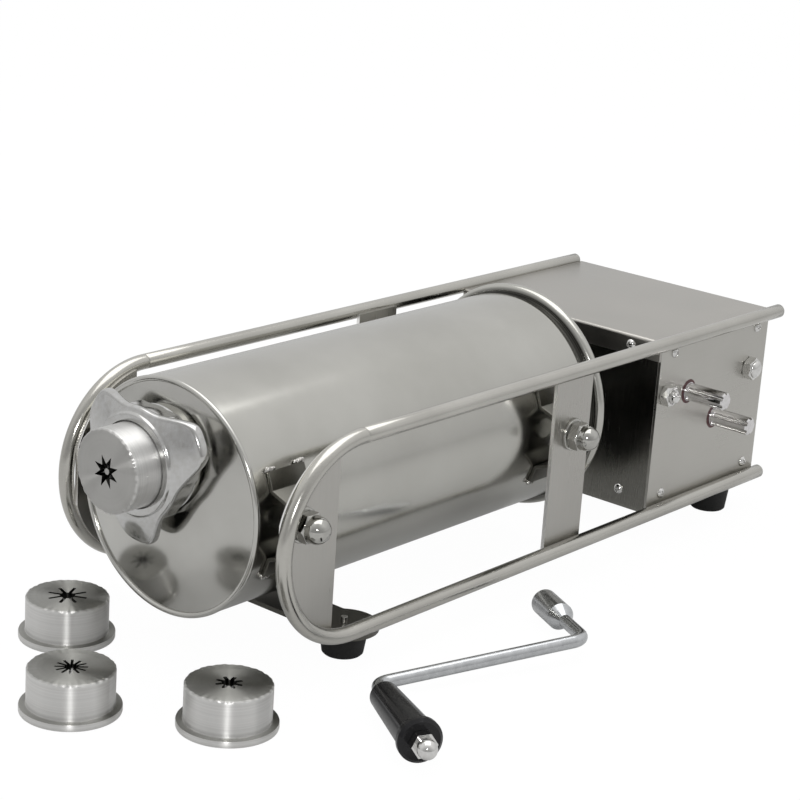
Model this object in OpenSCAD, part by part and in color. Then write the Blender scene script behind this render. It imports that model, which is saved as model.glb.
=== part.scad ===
// Horizontal hand-cranked churro maker: a barrel in a bent-rod frame, a piston driven by a
// rack, a two-speed gearbox, a wing nut that holds the star die, three spare dies and the
// removable crank.  Millimetres.  X runs from the outlet to the gearbox, the crank side is -Y,
// +Z is up.  The origin lies under the middle of everything, at table height.

/* [Side frames] */
// Diameter of the bent side rods
rail_d = 9.5; // [8:0.5:10]
// Distance from the barrel to the axis of each side rod
rail_clear = 18.75; // [17:0.25:22]
// Height of the lower run of the side rods
rail_low_z = 23.5; // [22:0.5:26]
// Height of the upper run of the side rods
rail_high_z = 143.5; // [139:0.5:148]
// Foremost point of the side rods
rail_front_x = -3.5; // [-8:0.5:0]
// Rear end of the upper runs of the side rods
rail_end_x = 508.5; // [506:0.5:530]
// Rear end of the lower runs of the side rods ahead of the upper ones
rail_low_back = 3; // [0:0.5:5]

/* [Straps and cross plate] */
// Thickness of the upright straps
strap_t = 2.5; // [2:0.5:3]
// Rear edge of the front straps
front_strap_x = 49.5; // [40:0.5:54]
// Width of the front straps
front_strap_w = 45.5; // [40:0.5:48]
// Distance from the middle of the rear straps to the barrel's rear end
strap_back = 52; // [48:0.5:60]
// Width of the rear straps
rear_strap_w = 38; // [30:1:46]
// Middle of the front cross plate
cross_plate_x = 78; // [74:1:120]
// Width of the front cross plate between its round ends
cross_plate_w = 31; // [28:1:38]
// Radius of the front cross plate's round ends
plate_lobe_r = 21; // [18:0.5:24]
// Thickness of the front cross plate
cross_plate_t = 3; // [2:0.5:4]

/* [Feet] */
// Radius of the rubber feet at the table
foot_r = 12.5; // [11:0.5:14]
// How much wider the rubber feet are at their tops
foot_flare = 2; // [0:0.5:3]
// How far the front feet stand inside the middle of the side rods
front_foot_in = 19.75; // [8:0.25:20]
// Rear feet along the machine
rear_foot_x = 468; // [460:1:480]
// How far the rear feet stand inside the side panels
rear_foot_in = 10; // [0:0.25:14]
// Diameter of the foot screws
foot_screw_d = 4; // [3:0.5:5]

/* [Barrel] */
// Outer radius of the barrel
barrel_r = 71; // [66:0.5:71]
// Wall of the barrel
barrel_wall = 1.5; // [1:0.25:2]
// Length of the barrel with its rear bead
barrel_len = 323.5; // [306:0.5:330]
// Gap between the front cross plate and the barrel
barrel_lift = 5.75; // [5:0.25:8]
// Radius of the round bead at the rear rim
bead_r = 4; // [3:0.5:4.5]
// How far the bead's middle stands out from the barrel's surface
bead_out = 1; // [0.5:0.5:3]
// Bulge of the front end
head_bulge = 9; // [6:0.5:10]
// Radius of the bead round the front end
head_bead_r = 1.8; // [1.5:0.1:2.5]

/* [Hat brackets and cap nuts] */
// Middle of the front hat brackets behind the front studs
front_hat_back = 4; // [0:0.5:6]
// Width of each hat bracket along the barrel
hat_w = 29; // [24:1:34]
// Height of the flat face of each hat bracket
hat_face_h = 34; // [30:1:40]
// Height over which each hat bracket meets the barrel
hat_foot_h = 62; // [56:1:68]
// Sheet of the hat brackets
hat_t = 2.5; // [2:0.5:3]
// Front studs along the machine
front_stud_x = 21; // [20:0.5:26]
// Height of the studs above the barrel's axis
stud_up = 3.5; // [0:0.5:5]
// Diameter of the studs
stud_d = 10; // [8:1:10]
// Size across the corners of the cap nuts
cap_nut_d = 19.2; // [17:0.2:20]

/* [Outlet and dies] */
// Height of the outlet's axis above the barrel's axis
outlet_up = 26.4; // [24:0.2:27]
// Outer radius of the outlet spout
spout_r = 30; // [29:0.5:31]
// Wall of the outlet spout
spout_wall = 4; // [3:0.5:5]
// How far the spout stands in front of the barrel's rim
spout_out = 23.8; // [23:0.2:28]
// Outer radius of the dies
die_r = 24.5; // [23:0.5:25]
// Height of the dies
die_h = 25.5; // [22:0.5:27]
// Radius of the dies' flanges
die_flange_r = 28.4; // [27.5:0.1:29]
// Thickness of the dies' flanges
die_flange_t = 4.1; // [3:0.1:5]
// Wall of the dies
die_wall = 4.5; // [3:0.5:6]
// Thickness of the dies' slotted faces
die_face_t = 5; // [3:0.5:7]
// Reach of the wing nut's wings from its axis
wing_reach = 49.5; // [46:0.5:52]
// Distance from the axis to the flats between the wings
wing_flat = 33.5; // [33:0.5:35]
// Thickness of the wing nut's wings
wing_t = 5; // [4:0.5:7]
// Radius of the wing nut's hub behind the wings
nut_hub_r = 34; // [33:0.5:35]
// Angle of the first wing above level
wing_turn = 27; // [0:1:119]
// Front lip of the wing nut
nut_lip_t = 2.5; // [2:0.1:3]
// Gap between the wing nut and the spout
nut_gap = 0.3; // [0.2:0.05:0.4]
// Rear face of the wing nut ahead of the rim
nut_rear = 10; // [9.8:0.2:11]

/* [Spare dies on the table] */
// Spare die with long slots along the machine
long_die_x = -28; // [-34:0.5:-26]
// Spare die with long slots across the machine
long_die_y = 53.5; // [48:0.5:60]
// Spare die with fine slots along the machine
fine_die_x = -92; // [-100:0.5:-88]
// Spare die with fine slots across the machine
fine_die_y = -23; // [-30:0.5:-15]
// Spare die with short slots along the machine
short_die_x = -42; // [-48:0.5:-38]
// Spare die with short slots across the machine
short_die_y = -94; // [-100:0.5:-90]

/* [Gearbox case] */
// Front of the gearbox case
case_front_x = 368.5; // [360:0.5:369]
// Length of the gearbox case
case_len = 134.5; // [132:0.5:138]
// Underside of the gearbox case
case_low_z = 20; // [19.5:0.5:22]
// Sheet of the gearbox case
sheet_t = 2; // [1.5:0.25:2.5]
// Overhang of the top cover's front hem
cover_over = 2; // [1.5:0.5:3]
// Overhang of the top cover's rear hem
cover_rear = 5.5; // [2:0.5:6]
// Depth of the top cover's front and rear hems
hem_h = 12; // [10:1:14]
// Width of the flanges that carry the side panels
flange_w = 23; // [20:1:26]
// Distance of the panel screws from the case's ends
screw_in_x = 16; // [12:0.5:19]
// Distance of the panel screws from the case's top and bottom
screw_in_z = 10; // [8:0.5:14]

/* [Rack and piston] */
// Width of the rack bar
rack_w = 16; // [14:1:16]
// Height of the rack bar from its back to its pitch line
rack_back = 10; // [8:0.5:10]
// Front face of the piston behind the barrel's rim
piston_x = 8; // [8:0.5:20]
// Thickness of each piston plate
piston_plate_t = 4; // [3:0.5:6]
// Thickness of the piston's seal
seal_t = 10; // [8:1:14]
// Gap between the seal and the barrel
seal_gap = 0.3; // [0.2:0.05:0.5]
// Stroke of the piston
stroke = 280; // [100:5:280]

/* [Gears] */
// Gear module
gear_m = 2;
// Pressure angle of the teeth
pressure = 25;
// Teeth of the pinion that drives the rack
rack_pinion_n = 10;
// Teeth of the large gear
large_n = 32;
// Teeth of the small pinion
small_n = 12;
// Thickness taken off each flank for backlash
flank_gap = 0.12; // [0.1:0.02:0.2]
// Height of a tooth outside its pitch circle, in modules
tooth_up = 0.85; // [0.8:0.01:0.86]
// Depth of a tooth inside its pitch circle, in modules
tooth_down = 1.05; // [1:0.01:1.1]
// Fast crank shaft along the machine
fast_x = 442.5; // [440:0.5:445]
// Height of the fast crank shaft
fast_z = 76.7; // [76:0.1:77.5]
// Direction from the fast shaft to the slow shaft, up from the rear
shaft_turn = 145.1; // [140:0.1:150]
// Radius of both shafts in their bushes
shaft_r = 6.6; // [6:0.1:7]
// Radius of the fluted ends of the shafts
spline_r = 6.2; // [5.6:0.1:6.4]
// How far the fluted ends stand out from the side panel
spline_out = 30.5; // [20:0.5:34]
// Radial running clearance of shafts, roller and grip
run_gap = 0.05; // [0.02:0.01:0.1]
// Thickness of the bearing plates inside the case
bearing_t = 5; // [4:0.5:6]
// Distance of the bearing plates from the middle plane
bearing_y = 21; // [20:0.5:24]
// Face width of the large gear
large_face = 10; // [8:1:12]
// Side of the large gear towards the crank
large_side_y = 50; // [46:1:56]
// Height of the tie bolts
tie_z = 105; // [104:0.5:106]
// Front tie bolt along the machine
tie_front_x = 377.6; // [377.5:0.1:378]
// Rear tie bolt along the machine
tie_rear_x = 482; // [478:0.5:484]
// Diameter of the tie bolts
tie_d = 8; // [6:1:8]

/* [Crank] */
// Elbow beside the grip along the machine
crank_x = 46.4; // [42:0.5:50]
// Elbow beside the grip across the machine
crank_y = -123; // [-135:0.5:-120]
// Heading across the crank's legs
crank_heading = -32.3; // [-36:0.5:-30]
// Lean of the crank arm from square to its legs
arm_lean = 11.4; // [5:0.5:16]
// Diameter of the crank rod
crank_d = 8; // [7:0.5:8]
// Length of the crank arm between its elbows
arm_len = 141.5; // [110:0.5:150]
// Length from the arm to the mouth of the socket
socket_leg = 68.5; // [60:0.5:74]
// Length from the arm to the end of the grip
grip_leg = 85.5; // [70:0.5:95]
// Radius of the crank's bends
bend_r = 10; // [9:0.5:12]
// Outer radius of the socket
socket_r = 8.5; // [8:0.1:9.5]
// Length of the socket
socket_len = 28; // [24:1:34]
// Depth of the socket's bore
socket_depth = 20; // [16:1:22]
// Radius of the grip near the elbow
grip_r = 8.5; // [8:0.1:9.4]
// Radius of the grip beside its flange
grip_end_r = 11; // [10:0.1:12]
// Radius of the grip's flange
grip_flange_r = 12.8; // [12:0.1:15]
// Start of the grip from the elbow
grip_near = 16.5; // [14:0.5:22]

/* [Hidden] */
$fn = 64;

steel = [0.74, 0.74, 0.71];
bright = [0.84, 0.85, 0.86];
shade = [0.52, 0.52, 0.5];
black = [0.07, 0.07, 0.07];
bronze = [0.42, 0.12, 0.1];
nylon = [0.9, 0.9, 0.87];
silicone = [0.85, 0.3, 0.24];

// side frames
rail_r = rail_d / 2;
rail_y = barrel_r + rail_clear;
loop_r = (rail_high_z - rail_low_z) / 2;
loop_x = rail_front_x + rail_r + loop_r;
loop_z = rail_low_z + loop_r;
strap_y = rail_y - rail_r;
plate_top_z = rail_low_z - rail_r;
front_foot_y = rail_y - front_foot_in;

// barrel
barrel_z = plate_top_z + barrel_lift + barrel_r;
barrel_in_r = barrel_r - barrel_wall;
rear_strap_x = barrel_len - strap_back;
groove_r = 10;
groove_depth = 0.6;
groove_back = 4;
stud_z = barrel_z + stud_up;
hat_y = strap_y - strap_t;
stud_r = stud_d / 2;
stud_hole_gap = 0.2;
washer_t = 2;
washer_r = cap_nut_d / 2 + 1;
hat_web_drop = 4;
cap_hex_h = 7;
cap_neck_h = 2.5;
cap_dome_r = cap_nut_d * 0.42;
head_r = (barrel_r * barrel_r + head_bulge * head_bulge) / (2 * head_bulge);
head_t = 1.5;

// outlet
outlet_z = barrel_z + outlet_up;
die_seat_x = -spout_out;
nut_front_x = die_seat_x - die_flange_t - nut_gap - nut_lip_t;

// gearbox
case_rear_x = case_front_x + case_len;
case_top_z = rail_high_z - sheet_t;
panel_y = strap_y - sheet_t;
rear_foot_y = panel_y - rear_foot_in;
tie_r = tie_d / 2;
tie_hole_gap = 0.3;
tie_nut_r = tie_d * 0.94;
tie_nut_h = 6.5;
pan_head_t = 2.4;
pan_head_r = 3.6;
bush_flange_r = 11;
bush_r = 8.5;

// gears
pinion_pitch_r = gear_m * rack_pinion_n / 2;
large_pitch_r = gear_m * large_n / 2;
small_pitch_r = gear_m * small_n / 2;
shaft_step = large_pitch_r + small_pitch_r;
slow_x = fast_x + shaft_step * cos(shaft_turn);
slow_z = fast_z + shaft_step * sin(shaft_turn);
rack_pitch_z = fast_z + pinion_pitch_r;
rack_top_z = rack_pitch_z + rack_back;
rack_tooth_up = 0.75 * gear_m;
rack_low_z = rack_pitch_z - rack_tooth_up;
rack_mid_z = (rack_top_z + rack_low_z) / 2;
rack_h = rack_top_z - rack_low_z;
tooth_pitch = PI * gear_m;
roller_gap = 0.3;
roller_r = tie_z - rack_top_z - roller_gap;
guide_gap = 0.3;
guide_side = 4;
guide_wall = 3.5;
spline_tip_y = strap_y + spline_out;
flute_r = 1.8;
flute_at = spline_r + 0.4;
socket_gap = 0.15;

// piston
seal_x = piston_x + piston_plate_t;
rear_plate_x = seal_x + seal_t;
rack_front_x = rear_plate_x + piston_plate_t;
rack_rear_x = fast_x + 28;
piston_plate_r = barrel_in_r - 3.5;
seal_core_r = piston_plate_r - 8;
valve_z = barrel_z + 36;
valve_r = 3;
valve_spring_len = 10;
valve_collar_x = rack_front_x + valve_spring_len;

// crank
crank_r = crank_d / 2;
grip_flange_t = 6;
crank_nut_r = 7.5;
crank_nut_h = 6.5;
crank_dome_r = 5.6;
crank_lift = 0.05;
bend_thin = 0.03;
grip_tilt = atan((grip_flange_r - grip_r) / (grip_leg - grip_flange_t - grip_near));
elbow_z = grip_r * cos(grip_tilt) - grip_near * sin(grip_tilt) + crank_lift;
socket_u = arm_len * cos(arm_lean);
mouth_w = arm_len * sin(arm_lean) + socket_leg;
arm_tilt = asin((socket_r * cos(grip_tilt) + mouth_w * sin(grip_tilt) - elbow_z + crank_lift)
                / (socket_u * cos(grip_tilt)));

// middle of everything on the table
part_x = [fine_die_x - die_flange_r, max(rail_end_x, case_rear_x + cover_rear + pan_head_t)];
part_y = [
    crank_y - (grip_leg + crank_nut_h + 4) * cos(crank_heading) * cos(grip_tilt) - crank_dome_r,
    strap_y + washer_t + cap_hex_h + cap_neck_h + cap_dome_r
];
middle = [(part_x[0] + part_x[1]) / 2, (part_y[0] + part_y[1]) / 2, 0];

// ---- helpers ----

// Moves machine coordinates to the part's origin
module part() {
    translate(-middle) children();
}

// Round bar along X
module bar_x(x0, x1, y, z, r) {
    translate([x0, y, z]) rotate([0, 90, 0]) cylinder(h = x1 - x0, r = r);
}

// Round bar along Y
module bar_y(y0, y1, x, z, r) {
    translate([x, y0, z]) rotate([-90, 0, 0]) cylinder(h = y1 - y0, r = r);
}

// Six-sided bar along Y
module hex_y(y0, y1, x, z, r) {
    translate([x, y0, z]) rotate([-90, 0, 0]) cylinder(h = y1 - y0, r = r, $fn = 6);
}

// Box from two corners
module block(low, high) {
    translate(low) cube(high - low);
}

// The same piece on the other side of the middle plane
module far() {
    mirror([0, 1, 0]) children();
}

// ---- side frames ----

// One rod bent into a long U that lies on its side
module side_rail() {
    color(steel) translate([0, -rail_y, 0]) {
        bar_x(loop_x, rail_end_x, 0, rail_high_z, rail_r);
        bar_x(loop_x, rail_end_x - rail_low_back, 0, rail_low_z, rail_r);
        translate([loop_x, 0, loop_z]) rotate([90, 0, 0]) rotate([0, 0, 90])
            rotate_extrude(angle = 180) translate([loop_r, 0]) circle(rail_r);
    }
}

// Front strap, cut to the curve of the rod that it is welded behind
module front_strap() {
    color(steel) difference() {
        intersection() {
            block([front_strap_x - front_strap_w, -strap_y, rail_low_z],
                  [front_strap_x, -hat_y, rail_high_z]);
            bar_y(-strap_y - 1, -hat_y + 1, loop_x, loop_z, loop_r);
        }
        bar_y(-strap_y - 1, -hat_y + 1, front_stud_x, stud_z, stud_r + stud_hole_gap);
    }
}

// Rear strap between the two runs of the rod
module rear_strap() {
    half = rear_strap_w / 2;
    color(steel) difference() {
        block([rear_strap_x - half, -strap_y, rail_low_z], [rear_strap_x + half, -hat_y, rail_high_z]);
        bar_y(-strap_y - 1, -hat_y + 1, rear_strap_x, stud_z, stud_r + stud_hole_gap);
    }
}

// Plate under both rods, with a round lobe for each foot
module front_cross_plate() {
    color(shade) difference() {
        translate([cross_plate_x, 0, plate_top_z - cross_plate_t]) linear_extrude(cross_plate_t) {
            square([cross_plate_w, 2 * front_foot_y], center = true);
            for (side = [-1, 1]) translate([0, side * front_foot_y]) circle(plate_lobe_r);
        }
        for (side = [-1, 1])
            translate([cross_plate_x, side * front_foot_y, 0])
                cylinder(h = plate_top_z + 1, r = foot_screw_d / 2 + 0.1);
    }
}

// Tapered rubber foot with a recess for its screw's head
module rubber_foot(x, y, h) {
    top_r = foot_r + foot_flare;
    translate([x, y, 0]) difference() {
        rotate_extrude() polygon([
            [0, 0], [foot_r - 1, 0], [foot_r, 1], [top_r, h - 1.5], [top_r - 1.5, h], [0, h]
        ]);
        translate([0, 0, -1]) cylinder(h = foot_recess(h) + 1, r = foot_screw_d + 1);
        cylinder(h = h + 1, r = foot_screw_d / 2 + 0.1);
    }
}

// Depth of a foot's recess
function foot_recess(h) = h * 0.55;

module front_feet() {
    color(black) for (side = [-1, 1])
        rubber_foot(cross_plate_x, side * front_foot_y, plate_top_z - cross_plate_t);
}

module rear_feet() {
    color(black) for (side = [-1, 1])
        rubber_foot(rear_foot_x, side * rear_foot_y, case_low_z);
}

// Foot screw: head in the foot's recess, tip above the plate
module foot_screw(x, y, h, plate) {
    r = foot_screw_d / 2;
    translate([x, y, foot_recess(h)]) {
        translate([0, 0, -r]) cylinder(h = r, r = 2 * r);
        cylinder(h = h - foot_recess(h) + plate + 4, r = r);
    }
}

module foot_screws() {
    color(bright) for (side = [-1, 1]) {
        foot_screw(cross_plate_x, side * front_foot_y, plate_top_z - cross_plate_t, cross_plate_t);
        foot_screw(rear_foot_x, side * rear_foot_y, case_low_z, sheet_t);
    }
}

// ---- barrel ----

// Thin tube with a shallow groove and a rolled bead at its open rear end
module barrel_tube() {
    bead_x = barrel_len - bead_r;
    groove_at = barrel_r - groove_depth + groove_r;
    color(steel) translate([0, 0, barrel_z]) rotate([0, 90, 0]) rotate_extrude() difference() {
        union() {
            translate([barrel_in_r, head_bead_r]) square([barrel_wall, bead_x - head_bead_r]);
            translate([barrel_r + bead_out, bead_x]) circle(bead_r);
        }
        translate([groove_at, bead_x - bead_r - groove_back]) circle(groove_r);
    }
}

// Domed front end with a bead at its rim and a round hole for the spout
module barrel_head() {
    color(bright) difference() {
        translate([0, 0, barrel_z]) rotate([0, 90, 0]) rotate_extrude() {
            intersection() {
                translate([0, head_r - head_bulge]) difference() {
                    circle(head_r, $fn = 360);
                    circle(head_r - head_t, $fn = 360);
                }
                translate([0, -head_bulge - 1]) square([barrel_r - 1, head_bulge + 2 * head_bead_r]);
            }
            translate([barrel_r - head_bead_r + 0.4, 0]) circle(head_bead_r);
        }
        bar_x(-head_bulge - 2, 4, 0, outlet_z, spout_r);
    }
}

// Round neck that the wing nut screws onto
module outlet_spout() {
    color(bright) difference() {
        bar_x(die_seat_x, 0.5, 0, outlet_z, spout_r);
        bar_x(die_seat_x - 1, 1.5, 0, outlet_z, spout_r - spout_wall);
    }
}

// Hat of bent sheet: two feet welded along the barrel, two webs and a face behind the strap
module hat_bracket(x, stud_x) {
    face_half = hat_face_h / 2;
    outer_r = barrel_r + hat_t;
    under_r = barrel_r - 2;
    end_turn = asin(hat_foot_h / 2 / outer_r);
    web_turn = asin((face_half + hat_web_drop) / outer_r);
    web_in_turn = asin((face_half + hat_web_drop - hat_t) / barrel_r);
    upper = [
        outer_r * [-cos(end_turn), sin(end_turn)], outer_r * [-cos(web_turn), sin(web_turn)],
        [-hat_y + 1.5, face_half + 0.8], [-hat_y, face_half - 0.8]
    ];
    inner = [
        [-hat_y + hat_t, face_half - 2.5],
        under_r * [-cos(web_in_turn), sin(web_in_turn)], under_r * [-cos(end_turn), sin(end_turn)]
    ];
    mirror_z = [[1, 0], [0, -1]];
    difference() {
        translate([x - hat_w / 2, 0, barrel_z]) rotate([90, 0, 90]) linear_extrude(hat_w) polygon(concat(
            upper, [for (i = [3:-1:0]) mirror_z * upper[i]],
            [for (i = [2:-1:0]) mirror_z * inner[i]], inner
        ));
        bar_x(x - hat_w, x + hat_w, 0, barrel_z, barrel_r);
        bar_y(-strap_y, -barrel_r, stud_x, stud_z, stud_r + stud_hole_gap);
    }
}

module hat_brackets() {
    color(shade) {
        hat_bracket(front_stud_x + front_hat_back, front_stud_x);
        hat_bracket(rear_strap_x, rear_strap_x);
    }
}

// Threaded stud whose thin head lies inside the bracket
module barrel_stud(x) {
    head_y = hat_y - hat_t;
    bar_y(-head_y, -head_y + 3, x, stud_z, stud_r + 2.5);
    bar_y(-strap_y - washer_t - cap_hex_h - 2, -head_y, x, stud_z, stud_r);
}

module four_studs() {
    for (x = [front_stud_x, rear_strap_x]) {
        children_at(x) children();
        far() children_at(x) children();
    }
}

module children_at(x) {
    translate([x, 0, 0]) children();
}

module barrel_studs() {
    color(bright) four_studs() barrel_stud(0);
}

module strap_washers() {
    color(bright) four_studs() difference() {
        bar_y(-strap_y - washer_t, -strap_y, 0, stud_z, washer_r);
        bar_y(-strap_y - washer_t - 1, -strap_y + 1, 0, stud_z, stud_r + stud_hole_gap);
    }
}

// Domed nut: hexagon, short neck and ball end, hollow for its stud
module cap_nut() {
    hex_y0 = strap_y + washer_t;
    neck_y0 = hex_y0 + cap_hex_h;
    dome_y = neck_y0 + cap_neck_h;
    difference() {
        union() {
            hex_y(-neck_y0, -hex_y0, 0, stud_z, cap_nut_d / 2);
            bar_y(-dome_y, -neck_y0, 0, stud_z, cap_dome_r);
            translate([0, -dome_y, stud_z]) sphere(cap_dome_r);
        }
        bar_y(-neck_y0 - 3, -hex_y0 + 1, 0, stud_z, stud_r + stud_hole_gap);
    }
}

module cap_nuts() {
    color(bright) four_studs() cap_nut();
}

// ---- outlet ----

// Three-winged nut: plate whose wings slope back to their tips, round hub behind, stepped bore
module wing_nut() {
    depth = -nut_rear - nut_front_x;
    shoulder_r = wing_flat - 1;
    tip_x = 9;
    rise = (tip_x - 1) / (wing_reach - 2 - shoulder_r);
    color(bright) difference() {
        translate([nut_front_x, 0, outlet_z]) rotate([0, 90, 0]) rotate([0, 0, 270 - wing_turn])
            intersection() {
                linear_extrude(depth) intersection() {
                    circle(wing_reach);
                    circle(2 * wing_flat, $fn = 3);
                }
                rotate_extrude() polygon([
                    [0, 0], [shoulder_r - 3, 0], [shoulder_r, 1], [wing_reach - 2, tip_x],
                    [wing_reach, tip_x + 2], [wing_reach, tip_x + wing_t],
                    [nut_hub_r, 1 + wing_t + rise * (nut_hub_r - shoulder_r)],
                    [nut_hub_r, depth], [0, depth]
                ]);
            }
        bar_x(nut_front_x - 1, 0, 0, outlet_z, die_r + nut_gap);
        bar_x(nut_front_x + nut_lip_t, 0, 0, outlet_z, die_flange_r + nut_gap);
        bar_x(die_seat_x - 0.5, 0, 0, outlet_z, spout_r + nut_gap);
    }
}

// Cup with a flange, standing on its flange, without its slots
module die_blank() {
    rotate_extrude() polygon([
        [die_r - die_wall, 0], [die_flange_r - 0.5, 0], [die_flange_r, 0.5],
        [die_flange_r, die_flange_t - 0.5], [die_flange_r - 0.5, die_flange_t], [die_r, die_flange_t],
        [die_r, die_h - 0.8], [die_r - 0.8, die_h], [0, die_h], [0, die_h - die_face_t],
        [die_r - die_wall, die_h - die_face_t]
    ]);
}

// Outline of a star with pointed rays
module star(count, tip_r, root_r) {
    polygon([for (i = [0:2 * count - 1])
        let (r = i % 2 == 0 ? tip_r : root_r)
        r * [cos(i * 180 / count), sin(i * 180 / count)]]);
}

// Outline of round-ended slots that cross at the middle
module slot_star(count, reach, width, hub_r) {
    circle(hub_r);
    for (i = [0:count - 1]) rotate(i * 360 / count) {
        translate([0, -width / 2]) square([reach - width / 2, width]);
        translate([reach - width / 2, 0]) circle(width / 2);
    }
}

// Cuts the outline given as a child through the face of a die
module slotted_die() {
    difference() {
        die_blank();
        translate([0, 0, die_h - die_face_t - 1]) linear_extrude(die_face_t + 2) children();
    }
}

// Die held by the wing nut: an eight-ray star round a centre pin on a three-armed spider
module fitted_die() {
    pin_r = 2;
    arm_w = 2;
    color(steel) translate([die_seat_x, 0, outlet_z]) rotate([0, -90, 0]) {
        slotted_die() rotate(22.5) star(8, 9.8, 4.4);
        translate([0, 0, 2]) cylinder(h = die_h - 2.5, r = pin_r);
        for (i = [0:2]) rotate(i * 120)
            translate([0, -arm_w / 2, 2]) cube([die_r - die_wall + 0.2, arm_w, 4]);
    }
}

module long_slot_die() {
    color(steel) translate([long_die_x, long_die_y, 0]) slotted_die() rotate(27.5)
        slot_star(8, 11.8, 1.9, 4.3);
}

module fine_slot_die() {
    color(steel) translate([fine_die_x, fine_die_y, 0]) slotted_die() rotate(15)
        slot_star(12, 9.1, 1.5, 3.8);
}

module short_slot_die() {
    color(steel) translate([short_die_x, short_die_y, 0]) slotted_die() rotate(19.3)
        slot_star(8, 7.8, 2.2, 4);
}

// ---- gearbox case ----

// Plate outline with rounded lower corners
module channel_outline(x0, x1, z0, z1, r) {
    translate([x0, z0 + r]) square([x1 - x0, z1 - z0 - r]);
    translate([x0 + r, z0]) square([x1 - x0 - 2 * r, r]);
    for (x = [x0 + r, x1 - r]) translate([x, z0 + r]) circle(r);
}

// Places of the four screws of a side panel
function panel_screw_spots() = [
    for (x = [case_front_x + screw_in_x, case_rear_x - screw_in_x + 2])
    for (z = [case_low_z + screw_in_z + 3, case_top_z - screw_in_z + 2]) [x, z]
];

// One sheet bent into front plate, base and rear plate, with flanges for the side panels
module case_channel() {
    guide_half = rack_w / 2 + guide_side;
    bend = 3;
    color(shade) difference() {
        union() {
            translate([0, panel_y, 0]) rotate([90, 0, 0]) linear_extrude(2 * panel_y) difference() {
                channel_outline(case_front_x, case_rear_x, case_low_z, case_top_z, bend);
                channel_outline(case_front_x + sheet_t, case_rear_x - sheet_t, case_low_z + sheet_t,
                                case_top_z + 5, bend - 1);
            }
            for (side = [-1, 1], x = [case_front_x + sheet_t, case_rear_x - sheet_t - flange_w])
                block([x, side > 0 ? panel_y - sheet_t : -panel_y, case_low_z + sheet_t],
                      [x + flange_w, side > 0 ? panel_y : -panel_y + sheet_t, case_top_z]);
        }
        block([case_front_x - 1, -guide_half, rack_mid_z - rack_h / 2 - guide_wall],
              [case_rear_x + 1, guide_half, rack_mid_z + rack_h / 2 + guide_wall]);
        for (x = [tie_front_x, tie_rear_x])
            bar_y(-panel_y - 1, panel_y + 1, x, tie_z, tie_r + tie_hole_gap);
        for (spot = panel_screw_spots())
            bar_y(-panel_y - 1, panel_y + 1, spot[0], spot[1], 1.6);
        for (side = [-1, 1]) {
            translate([rear_foot_x, side * rear_foot_y, 0])
                cylinder(h = case_low_z + 5, r = foot_screw_d / 2 + 0.1);
            for (z = end_screw_z())
                bar_x(case_front_x - 1, case_rear_x + 1, side * end_screw_y(), z, 1.6);
        }
    }
}

function end_screw_y() = panel_y - 22;
function end_screw_z() = [case_low_z + 13, case_top_z - hem_h / 2 + 1];

// Flat lid with a hem turned down at its front and rear
module top_cover() {
    y = strap_y;
    color(steel) difference() {
        translate([0, y, 0]) rotate([90, 0, 0]) linear_extrude(2 * y) polygon([
            [case_front_x - cover_over, rail_high_z - 1], [case_front_x - cover_over + 1, rail_high_z],
            [case_rear_x + cover_rear - 1, rail_high_z], [case_rear_x + cover_rear, rail_high_z - 1],
            [case_rear_x + cover_rear, case_top_z - hem_h],
            [case_rear_x + cover_rear - sheet_t, case_top_z - hem_h],
            [case_rear_x + cover_rear - sheet_t, case_top_z], [case_front_x, case_top_z],
            [case_front_x, case_top_z - hem_h],
            [case_front_x - cover_over, case_top_z - hem_h]
        ]);
        for (side = [-1, 1])
            bar_x(case_front_x - cover_over - 1, case_rear_x + cover_rear + 1, side * end_screw_y(),
                  end_screw_z()[1], 2.1);
    }
}

// Side panel with its screw and tie bolt holes
module panel_sheet() {
    difference() {
        block([case_front_x, -strap_y, case_low_z + 1], [case_rear_x, -panel_y, case_top_z]);
        for (x = [tie_front_x, tie_rear_x])
            bar_y(-strap_y - 1, -panel_y + 1, x, tie_z, tie_r + tie_hole_gap);
        for (spot = panel_screw_spots())
            bar_y(-strap_y - 1, -panel_y + 1, spot[0], spot[1], 2.1);
    }
}

module near_panel() {
    color(steel) difference() {
        panel_sheet();
        bar_y(-strap_y - 1, -panel_y + 1, fast_x, fast_z, bush_r);
        bar_y(-strap_y - 1, -panel_y + 1, slow_x, slow_z, bush_r);
    }
}

module far_panel() {
    color(steel) far() panel_sheet();
}

// Pan-head screw along Y with its head towards -Y
module pan_screw(x, z) {
    translate([x, -strap_y, z]) rotate([90, 0, 0]) intersection() {
        cylinder(h = pan_head_t, r = pan_head_r);
        translate([0, 0, -1.6]) sphere(4);
    }
    bar_y(-strap_y, -panel_y + sheet_t + 2, x, z, 1.5);
}

module near_panel_screws() {
    color(bright) for (spot = panel_screw_spots()) pan_screw(spot[0], spot[1]);
}

module far_panel_screws() {
    color(bright) far() for (spot = panel_screw_spots()) pan_screw(spot[0], spot[1]);
}

// Pan-head screw along X with its head towards -X
module end_screw(x, y, z) {
    translate([x, y, z]) rotate([0, -90, 0]) intersection() {
        cylinder(h = pan_head_t, r = pan_head_r);
        translate([0, 0, -1.6]) sphere(4);
    }
    bar_x(x, x + 6, y, z, 1.5);
}

// Screws of the front and rear plates: the upper ones hold the cover's hems
module end_plate_screws() {
    color(bright) for (side = [-1, 1], i = [0, 1]) {
        z = end_screw_z()[i];
        front = i == 1 ? cover_over : 0;
        rear = i == 1 ? cover_rear : 0;
        end_screw(case_front_x - front, side * end_screw_y(), z);
        translate([case_rear_x + rear, 0, 0]) mirror([1, 0, 0]) end_screw(0, side * end_screw_y(), z);
    }
}

// ---- gearbox inside ----

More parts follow.
